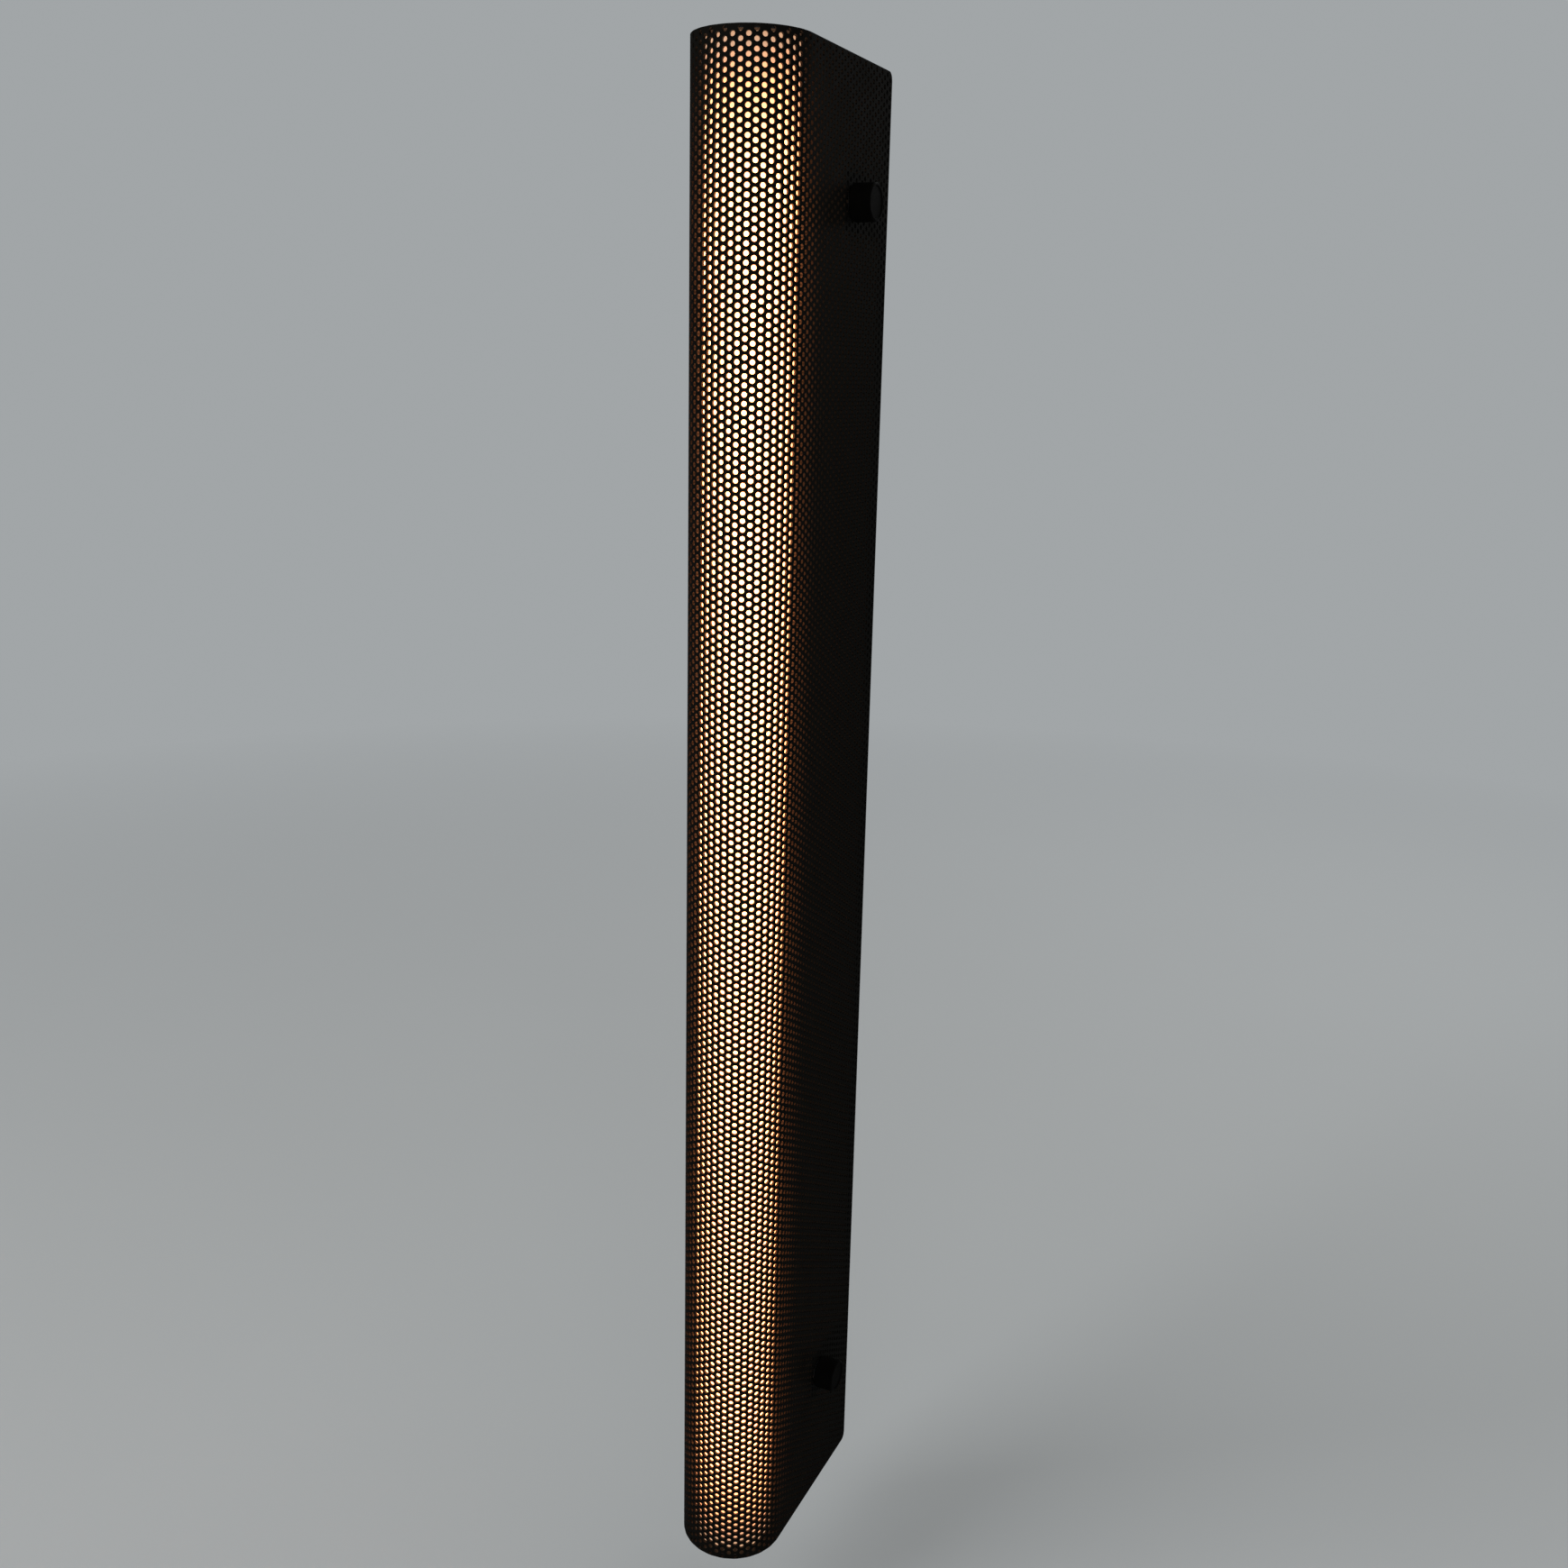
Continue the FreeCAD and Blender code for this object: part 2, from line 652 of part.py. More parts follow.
def diffuser_tube():
    """The opal tube, with a hole in its back for the lead."""
    body = new_body("diffuser_tube")
    tube_half = cap_inner_face - size.tube_end_gap
    axis = (ZERO, -size.bend_to_wall)
    ring = sketch_on(body, "XY_Plane", -tube_half)
    add_circle(ring, axis, size.tube_diameter)
    add_circle(ring, axis, tube_bore)
    pad(body, ring, tube_half * 2)
    hole = sketch_on(body, "XZ_Plane", size.bend_to_wall)
    add_circle(hole, (ZERO, lead_entry), tube_bush_hole)
    pocket(body, hole)


def led_carrier():
    """The square aluminium bar along the tube's axis, on its corner."""
    body = new_body("led_carrier")
    carrier_half = seat_inner_face + size.socket_depth - size.socket_gap
    ring = sketch_on(body, "XY_Plane", -carrier_half)
    add_outline(ring, diamond(size.carrier_side))
    add_outline(ring, diamond(size.carrier_side - size.carrier_wall * 2))
    pad(body, ring, carrier_half * 2)


def on_carrier(side, across, off, z):
    """A box on one of the carrier's two front faces: across and off that face, and up."""
    solid = doc.addObject("Part::Box", "OnCarrier")
    bind(solid, "Length", off[1] - off[0])
    bind(solid, "Width", across[1] - across[0])
    bind(solid, "Height", z[1] - z[0])
    if side > 0:
        corner = (off[0] + across[0], across[0] - off[0])
        angle = -45
    else:
        corner = (across[0] - off[0], -(off[0] + across[0]))
        angle = -135
    x, y = (value * HALF_DIAGONAL_SHARE for value in corner)
    place(solid, (x, y - size.bend_to_wall, z[0]), (0, 0, 1), angle)
    return solid


def led_board(name, side):
    """A strip of circuit board on the carrier, and its row of lamp chips."""
    face = size.carrier_side / 2
    board_half = half_length - size.board_end_gap
    half_width, half_chip = size.board_width / 2, size.chip_size / 2
    board_face = face + size.board_thickness
    board = on_carrier(side, (-half_width, half_width), (face, board_face), (-board_half, board_half))
    keep(f"led_board_{name}", board)
    each_way = int((board_half - half_chip).number / size.chip_pitch.number)
    chips = []
    for step in range(-each_way, each_way + 1):
        middle = size.chip_pitch * step
        chips.append(on_carrier(
            side, (-half_chip, half_chip), (board_face, board_face + size.chip_height),
            (middle - half_chip, middle + half_chip),
        ))
    keep(f"led_chips_{name}", group(chips))


def board_link():
    """The strap, folded over the carrier's front edge, that joins the two lamp boards."""
    face, near = size.carrier_side / 2, size.board_width / 2
    far = face + size.link_thickness
    top = half_length - size.board_end_gap
    height = (top - size.link_length, top)
    right_leg = on_carrier(RIGHT, (-far, -near), (face, far), height)
    left_leg = on_carrier(LEFT, (near, far), (face, far), height)
    keep("board_link", fuse(right_leg, left_leg))


def plate_studs():
    """Threaded studs whose heads are pressed into the wall plate."""
    studs = []
    tip = plate_face - size.plate_stud_length
    head_face = -(size.plate_gauge - size.thread_gap)
    for place_on_plate in tab_studs() + driver_studs() + block_studs() + [earth_place]:
        head = rod("y", place_on_plate, (head_face, -size.thread_gap), size.stud_head)
        shank = rod("y", place_on_plate, (tip, head_face), size.plate_stud)
        studs.append(fuse(head, shank))
    keep("plate_studs", group(studs))


def fixing_nuts(node, places, seat):
    """Hexagonal nuts on plate studs, on a face at the height seat."""
    nuts = []
    reach = (seat - size.fixing_nut_height, seat)
    for place_on_plate in places:
        body = hexagon("y", place_on_plate, reach, size.fixing_nut_width)
        bore = rod("y", place_on_plate, reach, size.plate_stud + size.thread_gap * 2)
        nuts.append(cut(body, bore))
    keep(node, group(nuts))


def driver_base():
    """The driver's tray, with rails for its board and an ear at each end."""
    half, wall = size.driver_width / 2, size.driver_wall
    front = plate_face - size.driver_base_height
    low, high = size.driver_start, driver_end
    outside = box((-half, half), (front, plate_face), (low, high))
    inside = box((-half + wall, half - wall), (front, plate_face - wall), (low + wall, high - wall))
    half_ear = size.driver_ear_width / 2
    ears = box(
        (-half_ear, half_ear), (plate_face - wall, plate_face),
        (low - size.driver_ear_length, high + size.driver_ear_length),
    )
    rail_top = plate_face - wall - size.rail_height
    rails = [
        box(
            span(side, half - wall - size.rail_width, half - wall),
            (rail_top, plate_face - wall), (low + wall, high - wall),
        )
        for side in SIDES.values()
    ]
    tray = fuse(cut(outside, inside), ears, *rails)
    holes = [rod("y", one, (front, ZERO), fixing_hole) for one in driver_studs()]
    keep("driver_base", cut(tray, *holes))


def driver_cover():
    """The lid that laps over the driver's tray."""
    wall, gap = size.driver_wall, size.case_gap
    half = size.driver_width / 2 + gap + wall
    back = plate_face - size.driver_base_height + size.driver_lap
    front = plate_face - size.driver_height
    low, high = size.driver_start - gap - wall, driver_end + gap + wall
    outside = box((-half, half), (front, back), (low, high))
    inside = box((-half + wall, half - wall), (front + wall, back), (low + wall, high - wall))
    keep("driver_cover", cut(outside, inside))


def driver_board():
    """The driver's circuit board, on its rails."""
    gap, wall = size.case_gap, size.driver_wall
    half = size.driver_width / 2 - wall - gap
    keep("driver_board", box(
        (-half, half), (circuit_face(), circuit_face() + size.circuit_thickness),
        (size.driver_start + wall + gap, driver_end - wall - gap),
    ))


def circuit_face():
    """The front face of the driver's circuit board."""
    return plate_face - size.driver_wall - size.rail_height - size.circuit_thickness


def driver_transformer():
    """An E-shaped core with its winding round the middle leg."""
    middle = (size.driver_start + driver_end) / 2
    gap = size.case_gap
    back = circuit_face() - size.coil_build - gap
    front = back - size.core_height
    half_width, half_length_of_core = size.core_width / 2, size.core_length / 2
    half_leg = size.core_middle / 2
    window_end = half_length_of_core - size.core_leg
    window_side = half_width - size.core_leg
    core = box((-half_width, half_width), (front, back),
               (middle - half_length_of_core, middle + half_length_of_core))
    windows = [
        box(span(side, half_leg, window_side), (front, back), (middle - window_end, middle + window_end))
        for side in SIDES.values()
    ]
    keep("driver_transformer_core", cut(core, *windows))
    coil_side, coil_end = window_side - gap, window_end - gap
    reach = (middle - coil_end, middle + coil_end)
    winding = box((-coil_side, coil_side), (front - size.coil_build, back + size.coil_build), reach)
    hollow = box((-half_leg - gap, half_leg + gap), (front - gap, back + gap), reach)
    keep("driver_transformer_coil", cut(winding, hollow))


def driver_capacitors():
    """Two cans that lie on the driver's board, towards its mains end."""
    first = size.driver_start + size.can_spacing
    height = circuit_face() - size.can_diameter / 2
    cans = []
    for step in range(CAPACITORS):
        middle = first + size.can_spacing * step
        reach = (middle - size.can_length / 2, middle + size.can_length / 2)
        cans.append(rod("z", (ZERO, height), reach, size.can_diameter))
    keep("driver_capacitors", group(cans))


def pole_places():
    """The terminal block's poles, from left to right."""
    return [size.pole_pitch * step for step in range(-(POLES // 2), POLES // 2 + 1)]


def pole_axis():
    """How far in front of the wall the wires' axis lies in the terminal block."""
    return plate_face - size.block_ear_height - size.clamp_size / 2


def terminal_block():
    """The plastic block with its ears, a tunnel for each brass clamp and holes for its screws."""
    half, middle = size.block_width / 2, -size.block_drop
    low, high = middle - size.block_length / 2, middle + size.block_length / 2
    front = plate_face - size.block_height
    main = box((-half, half), (front, plate_face), (low, high))
    reach = half + size.block_ear_width
    ears = box((-reach, reach), (plate_face - size.block_ear_height, plate_face), (low, high))
    tunnel = size.clamp_size / 2 + size.clamp_gap
    tools = [rod("y", one, (front, ZERO), fixing_hole) for one in block_studs()]
    depth = (pole_axis() - tunnel, pole_axis() + tunnel)
    screw_hole = size.clamp_screw_head + size.clamp_gap * 2
    for x in pole_places():
        tools.append(box((x - tunnel, x + tunnel), depth, (low, high)))
        for z in clamp_screw_heights():
            tools.append(rod("y", (x, z), (front, pole_axis()), screw_hole))
    keep("terminal_block", cut(fuse(main, ears), *tools))


def clamp_screw_heights():
    return [signed(end, size.clamp_screw_spacing / 2) - size.block_drop for end in ENDS.values()]


def terminal_clamps():
    """One brass clamp in each pole, with a wire bore and two screw holes."""
    half, middle = size.clamp_size / 2, -size.block_drop
    reach = (middle - size.clamp_length / 2, middle + size.clamp_length / 2)
    clamps = []
    for x in pole_places():
        clamp = box((x - half, x + half), (pole_axis() - half, pole_axis() + half), reach)
        tools = [rod("z", (x, pole_axis()), reach, size.wire_diameter + size.clamp_play * 2)]
        for z in clamp_screw_heights():
            depth = (pole_axis() - half, pole_axis())
            tools.append(rod("y", (x, z), depth, size.clamp_screw + size.thread_gap * 2))
        clamps.append(cut(clamp, *tools))
    keep("terminal_clamps", group(clamps))


def terminal_screws():
    """Two screws in each pole, down on the wire."""
    screws = []
    wire_side = pole_axis() - size.wire_diameter / 2
    head_back = pole_axis() - size.clamp_size / 2 - size.clamp_gap
    head_front = plate_face - size.block_height + size.clamp_gap
    for x in pole_places():
        for z in clamp_screw_heights():
            shank = rod("y", (x, z), (head_back, wire_side), size.clamp_screw)
            head = rod("y", (x, z), (head_front, head_back), size.clamp_screw_head)
            screws.append(fuse(shank, head))
    keep("terminal_screws", group(screws))


def cable_bush():
    """The rubber bush in the wall plate's cable hole."""
    middle = (ZERO, ZERO)
    front = plate_face - size.bush_thickness
    flange = rod("y", middle, (front, plate_face), cable_hole + size.bush_lap * 2)
    barrel = rod("y", middle, (plate_face, ZERO), cable_hole - size.thread_gap * 2)
    keep("cable_bush", cut(fuse(flange, barrel), rod("y", middle, (front, ZERO), size.cable_bore)))


def earth_tag():
    """The ring tag on the earth stud, with a neck that points down to its wire."""
    x, z = earth_place
    face = (plate_face - size.tag_thickness, plate_face)
    ring = rod("y", earth_place, face, size.tag_diameter)
    half_neck = size.wire_diameter / 2
    neck = box((x - half_neck, x + half_neck), face, (z - size.tag_neck, z))
    barrel_height = plate_face - size.wire_diameter / 2
    barrel = rod("z", (x, barrel_height), (z - size.tag_neck, z - size.tag_neck / 2), size.wire_diameter)
    hole = rod("y", earth_place, face, size.plate_stud + size.thread_gap * 2)
    keep("earth_tag", cut(fuse(ring, neck, barrel), hole))


def lead_clips():
    """Saddles on the wall plate that hold the lamp lead, between where it lands and its turn."""
    clips = []
    axis = (size.lead_offset, plate_face - size.clip_height / 2)
    first = half_length - size.clips_from_end
    last = lead_start + size.lead_step * 3 + size.clip_length
    half_width = size.clip_width / 2
    x_span = (size.lead_offset - half_width, size.lead_offset + half_width)
    for step in range(LEAD_CLIPS):
        top = first - (first - last) * (step / (LEAD_CLIPS - 1))
        reach = (top - size.clip_length, top)
        saddle = box(x_span, (plate_face - size.clip_height, plate_face), reach)
        clips.append(cut(saddle, rod("z", axis, reach, size.lead_diameter + size.lead_gap * 2)))
    keep("lead_clips", group(clips))


def tube_bush():
    """The small bush in the back of the tube, where the lead goes in."""
    middle = (ZERO, lead_entry)
    outer = tube_back + size.tube_bush_thickness
    inner = tube_back - size.tube_wall - size.seat_gap
    flange = rod("y", middle, (tube_back, outer), tube_bush_hole + size.tube_bush_lap * 2)
    barrel = rod("y", middle, (inner, tube_back), tube_bush_hole - size.thread_gap * 2)
    bore = rod("y", middle, (inner, outer), size.lead_diameter + size.lead_gap * 2)
    keep("tube_bush", cut(fuse(flange, barrel), bore))


def wire(node, points, diameter):
    """A round wire along straight runs joined by tangent arcs, each as large as its runs allow."""
    corners = [FreeCAD.Vector(*map(number_of, point)) for point in points]
    edges, start, radii = [], corners[0], []
    for before, corner, after in zip(corners, corners[1:], corners[2:]):
        run_in, run_out = (before - corner), (after - corner)
        half_turn = (math.pi - run_in.getAngle(run_out)) / 2
        setback = ARC_SHARE * min(run_in.Length, run_out.Length)
        radius = setback / math.tan(half_turn)
        run_in.normalize()
        run_out.normalize()
        arc_start, arc_end = corner + run_in * setback, corner + run_out * setback
        to_middle = (run_in + run_out).normalize()
        middle = corner + to_middle * (radius / math.cos(half_turn) - radius)
        edges.append(Part.LineSegment(start, arc_start).toShape())
        edges.append(Part.Arc(arc_start, middle, arc_end).toShape())
        start = arc_end
        radii.append(round(radius, 1))
    edges.append(Part.LineSegment(start, corners[-1]).toShape())
    path = Part.Wire(edges)
    direction = corners[1] - corners[0]
    section = Part.Wire(Part.makeCircle(diameter.number / 2, corners[0], direction))
    tube = Part.Wire(edges).makePipeShell([section], True, False)
    expected = math.pi * (diameter.number / 2) ** 2 * path.Length
    print(node, "radii", radii, "length", round(path.Length, 1),
          "volume share", round(tube.Volume / expected, 4))
    feature = doc.addObject("Part::Feature", "Wire")
    feature.Shape = tube
    keep(node, feature)


def wire_start():
    """The height at which a wire ends inside its clamp."""
    return size.clamp_length / 2 - size.block_drop - size.wire_in_clamp


def mains_wire(node, x_block, side):
    """A wire from the top of a pole, past one side of the cable bush, to the driver."""
    entry = plate_face - size.driver_base_height / 2
    x_driver = signed(side, size.pole_pitch / 2)
    x_pass = signed(side, size.cable_bore / 2 + size.wire_diameter * 2)
    end = size.driver_start - size.driver_wall - size.case_gap
    straight = size.block_length * WIRE_STRAIGHT_SHARE
    wire(node, [
        (x_block, pole_axis(), wire_start()),
        (x_block, pole_axis(), wire_start() + straight),
        (x_pass, pole_axis(), ZERO),
        (x_driver, entry, end - straight),
        (x_driver, entry, end),
    ], size.wire_diameter)


def earth_wire():
    """The wire from the left pole up to the earth tag."""
    x, z = earth_place
    start = wire_start()
    left_pole = pole_places()[0]
    end_height = plate_face - size.wire_diameter / 2
    neck_end = z - size.tag_neck
    straight = (neck_end - start) * EARTH_STRAIGHT_SHARE
    wire("earth_wire", [
        (left_pole, pole_axis(), start),
        (left_pole, pole_axis(), start + straight),
        (x, end_height, neck_end - straight),
        (x, end_height, neck_end),
    ], size.wire_diameter)


def led_lead():
    """The lead from the driver, through its clips and the tube's bush, to the right lamp board."""
    x, clipped = size.lead_offset, plate_face - size.clip_height / 2
    exit_height = plate_face - size.driver_base_height / 2
    first_clip = half_length - size.clips_from_end
    board_top = half_length - size.board_end_gap
    beside = size.carrier_side / 2 + size.lead_diameter / 2 + size.lead_gap
    sideways, outwards = LEAD_SWING_SHARES
    wire("led_lead", [
        (x, exit_height, lead_start),
        (x, exit_height, lead_start + size.lead_step),
        (x, clipped, lead_start + size.lead_step * 2),
        (x, clipped, first_clip + size.lead_bend),
        (x * sideways, tube_back * outwards, lead_entry),
        (ZERO, tube_back + size.lead_bush_run, lead_entry),
        (ZERO, tube_back - size.lead_bush_run, lead_entry),
        (size.lead_bush_run, tube_back - size.carrier_side, lead_entry),
        (*beside_carrier(beside, size.carrier_side), lead_entry - size.lead_diameter),
        (*beside_carrier(beside, size.board_width / 2 + size.lead_gap), board_top - size.lead_gap),
    ], size.lead_diameter)


def beside_carrier(off, across):
    """A point off and along the carrier's right front face, seen in plan."""
    return ((off + across) * HALF_DIAGONAL_SHARE,
            (across - off) * HALF_DIAGONAL_SHARE - size.bend_to_wall)


def knob(name, side, end):
    """A moulded knob with a bevelled rim and a shallow dish, and the stud moulded into it."""
    x_seat = size.shade_radius + size.washer_thickness + size.knob_gap
    across = (-size.knob_from_wall, knob_heights[end])
    edge, full = size.knob_edge, size.knob_diameter
    top = x_seat + size.knob_height
    dish = full - size.knob_rim * 2
    stud_hole = size.stud_diameter + size.thread_gap * 2
    lower = cone("x", across, (x_seat, x_seat + edge), (full - edge * 2, full))
    middle = rod("x", across, (x_seat + edge, top - edge), full)
    upper = cone("x", across, (top - edge, top), (full, full - edge * 2))
    solid = cut(
        fuse(lower, middle, upper),
        cone("x", across, (top - size.knob_dish, top), (dish - size.knob_dish * 2, dish)),
        rod("x", across, (x_seat, x_seat + size.stud_in_knob + size.thread_gap), stud_hole),
    )
    tip = ear_inner - size.key_gap - size.nut_thickness - size.stud_past_nut
    stud = rod("x", across, (tip, x_seat + size.stud_in_knob), size.stud_diameter)
    for node, feature in ((f"knob_{name}", solid), (f"stud_{name}", stud)):
        keep(node, turned_to_side(feature, side))


def turned_to_side(feature, side):
    """The piece itself on the right, or its mirror image on the left."""
    if side > 0:
        return feature
    mirrored = doc.addObject("Part::Mirroring", "Mirrored")
    mirrored.Source = feature
    mirrored.Normal = FreeCAD.Vector(1, 0, 0)
    return mirrored


def knob_washers_and_nuts():
    """A washer outside the shade and a keyed square nut behind the ear, at each knob."""
    washers, nuts = [], []
    nut_face = ear_inner - size.key_gap
    half, half_key = size.nut_size / 2, size.key_size / 2
    thread = size.stud_diameter + size.thread_gap * 2
    for side in SIDES.values():
        for end in ENDS.values():
            y, z = -size.knob_from_wall, knob_heights[end]
            outside = (size.shade_radius, size.shade_radius + size.washer_thickness)
            ring = rod("x", (y, z), outside, size.washer_diameter)
            hole = rod("x", (y, z), outside, size.stud_diameter + size.stud_gap * 2)
            washers.append(turned_to_side(cut(ring, hole), side))
            plate_span = (nut_face - size.nut_thickness, nut_face)
            key_span = (nut_face, plate_half_width)
            plate = box(plate_span, (y - half, y + half), (z - half, z + half))
            key = box(key_span, (y - half_key, y + half_key), (z - half_key, z + half_key))
            bore = rod("x", (y, z), (plate_span[0], key_span[1]), thread)
            nuts.append(turned_to_side(cut(fuse(plate, key), bore), side))
    keep("knob_washers", group(washers))
    keep("clamp_nuts", group(nuts))


def build():
    mesh_shade()
    wall_plate()
    plate_studs()
    for name, end in (("top", UP), ("bottom", DOWN)):
        end_cap(f"{name}_cap", end)
        tube_seat(f"{name}_tube_seat", end)
    seat_screws()
    fixing_nuts("cap_nuts", tab_studs(), plate_face - size.cap_gauge)
    diffuser_tube()
    led_carrier()
    for name, side in SIDES.items():
        led_board(name, side)
    board_link()
    driver_base()
    driver_cover()
    driver_board()
    driver_transformer()
    driver_capacitors()
    fixing_nuts("driver_nuts", driver_studs(), plate_face - size.driver_wall)
    terminal_block()
    terminal_clamps()
    terminal_screws()
    fixing_nuts("block_nuts", block_studs(), plate_face - size.block_ear_height)
    cable_bush()
    earth_tag()
    fixing_nuts("earth_nut", [earth_place], plate_face - size.tag_thickness)
    lead_clips()
    tube_bush()
    mains_wire("live_wire", ZERO, LEFT)
    mains_wire("neutral_wire", size.pole_pitch, RIGHT)
    earth_wire()
    led_lead()
    for end_name, end in ENDS.items():
        for side_name, side in SIDES.items():
            knob(f"{end_name}_{side_name}", side, end)
    knob_washers_and_nuts()


def check():
    """Stops if any object failed or any sub-part isn't a sound solid."""
    for feature in doc.Objects:
        if "Invalid" in feature.State or "Error" in feature.State:
            raise ValueError(f"{feature.Label} failed: {feature.State}")
    for node, feature in pieces.items():
        if feature.Shape.isNull() or not feature.Shape.isValid() or not feature.Shape.Solids:
            raise ValueError(f"{node} has no sound shape")


build()
doc.recompute()
check()
os.makedirs("parts", exist_ok=True)
for node, feature in pieces.items():
    feature.Shape.exportStep(f"parts/{node}.step")
print(len(pieces), "sub-parts written")
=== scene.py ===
import json
import math

import bpy
import numpy as np
from mathutils import Matrix, Vector


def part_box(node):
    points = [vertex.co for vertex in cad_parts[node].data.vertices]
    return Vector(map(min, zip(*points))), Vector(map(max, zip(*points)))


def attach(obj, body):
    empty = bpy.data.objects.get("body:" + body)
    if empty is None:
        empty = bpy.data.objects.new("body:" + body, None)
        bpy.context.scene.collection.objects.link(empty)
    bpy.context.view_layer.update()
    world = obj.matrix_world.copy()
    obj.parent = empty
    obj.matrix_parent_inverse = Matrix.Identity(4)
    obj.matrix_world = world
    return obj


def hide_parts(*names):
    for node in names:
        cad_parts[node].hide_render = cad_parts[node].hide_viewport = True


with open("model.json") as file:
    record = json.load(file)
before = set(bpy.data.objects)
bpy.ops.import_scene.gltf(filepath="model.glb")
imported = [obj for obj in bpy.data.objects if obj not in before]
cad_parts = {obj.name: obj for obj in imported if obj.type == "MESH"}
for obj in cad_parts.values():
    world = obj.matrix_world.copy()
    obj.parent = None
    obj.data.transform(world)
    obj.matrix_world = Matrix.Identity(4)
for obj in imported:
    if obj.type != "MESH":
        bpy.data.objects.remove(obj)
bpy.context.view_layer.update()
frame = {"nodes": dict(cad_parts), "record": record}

# Tall wall light. Metres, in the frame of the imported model: the wall is the plane y = 0, the light
# stands out from it towards -y, and z is up from the middle of the light.
MM = 0.001
DEGREE = math.radians(1)

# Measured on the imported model. The sheet is bent round an upright axis at y = BEND_AXIS, and
# KNOB_ACROSS and KNOBS_UP are the knobs' distances from its back edge and its bottom end.
SHADE_LOW, SHADE_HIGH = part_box("mesh_shade")
TUBE_LOW, TUBE_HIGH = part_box("diffuser_tube")
BUSH_LOW, BUSH_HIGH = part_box("tube_bush")
KNOB_BOXES = [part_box("knob_upper_right"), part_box("knob_lower_right")]
SHADE_RADIUS = SHADE_HIGH.x
SHADE_BACK = SHADE_HIGH.y
SHEET_HEIGHT = SHADE_HIGH.z - SHADE_LOW.z
BEND_AXIS = SHADE_LOW.y + SHADE_RADIUS
KNOB_ACROSS = SHADE_BACK - (KNOB_BOXES[0][0].y + KNOB_BOXES[0][1].y) / 2
KNOBS_UP = [(low.z + high.z) / 2 - SHADE_LOW.z for low, high in KNOB_BOXES]

# The perforated sheet. Its columns of holes run up it, and each knob sits on column KNOB_COLUMN,
# counted from the sheet's nearer back edge. BANDS is the number of pieces that it is made in.
SHADE_GAUGE = 1.5 * MM
SHADE_CORNER = 5 * MM
CORNER_STEPS = 4
HOLE_DIAMETER = 3 * MM
HOLE_PITCH = 5 * MM
HOLE_SIDES = 12
STUD_HOLE = 5.4 * MM
COLUMNS = 79
KNOB_COLUMN = 12
BANDS = 5

# The glowing tube. Its glow fades over FADE_LENGTH at both ends, and between the two angles of
# BACK_FADE from its front, because the lamp boards inside face forwards.
TUBE_WALL = 2 * MM
TUBE_BEVEL = 0.5 * MM
ROUND_SIDES = 96
LEAD_HOLE = 6 * MM
FADE_LENGTH = 90 * MM
FADE_ZONES = 12
BACK_FADE = (72 * DEGREE, 108 * DEGREE)
END_GLOW = (0.60, 0.33, 0.18)
MIDDLE_GLOW = (11.0, 3.5, 1.2)

# The camera, as in the photograph. Its sensor is in millimetres, as its lens is.
PHOTO_SIDE_PX = 1740
FOCAL_PX = 1691
SENSOR_MM = 36.0
CAMERA_AZIMUTH = 24.88 * DEGREE
CAMERA_ELEVATION = 15.01 * DEGREE
CAMERA_ROLL = 1.21 * DEGREE
CAMERA_DISTANCE = 1071.9 * MM
CAMERA_AIM = Vector((-28.4, 0, 28.3)) * MM

# The studio. The floor turns into the plain backdrop between the two distances of FLOOR_FADE.
FLOOR_DROP = 90 * MM
FLOOR_RADIUS = 7.0
FLOOR_RINGS = 24
FLOOR_FADE = (1.0, 3.0)
FLOOR_PATCH = 0.4
FLOOR_COLOURS = ((0.574, 0.599, 0.604), (0.566, 0.591, 0.596))
BACKDROP = (0.36, 0.38, 0.39)
WORLD_LIGHT = 0.32
SOFTBOXES = {
    "key": {"place": (-1.6, -2.2, 1.6), "side": 1.6, "watts": 34},
    "fill": {"place": (1.2, -2.6, 0.6), "side": 1.8, "watts": 12},
    "back": {"place": (0.6, 2.2, 1.4), "side": 1.8, "watts": 16},
}

# Edges from this angle on stay sharp, and noise lies mostly in this range.
SHARP_EDGE = 35 * DEGREE
NOISE_RANGE = (0.3, 0.7)


def circle_turns(sides):
    return [n * 2 * math.pi / sides for n in range(sides)]


def edges_of(face):
    return zip(face, face[1:] + face[:1])


def mesh_object(name, points, faces, materials, face_materials=None):
    """A mesh object, smooth apart from its sharp edges."""
    mesh = bpy.data.meshes.new(name)
    mesh.from_pydata(points, [], faces)
    for material in materials:
        mesh.materials.append(material)
    if face_materials:
        mesh.polygons.foreach_set("material_index", face_materials)
    mesh.polygons.foreach_set("use_smooth", [True] * len(mesh.polygons))
    mesh.update(calc_edges=True)
    mesh.set_sharp_from_angle(angle=SHARP_EDGE)
    thing = bpy.data.objects.new(name, mesh)
    bpy.context.scene.collection.objects.link(thing)
    return thing


# Materials


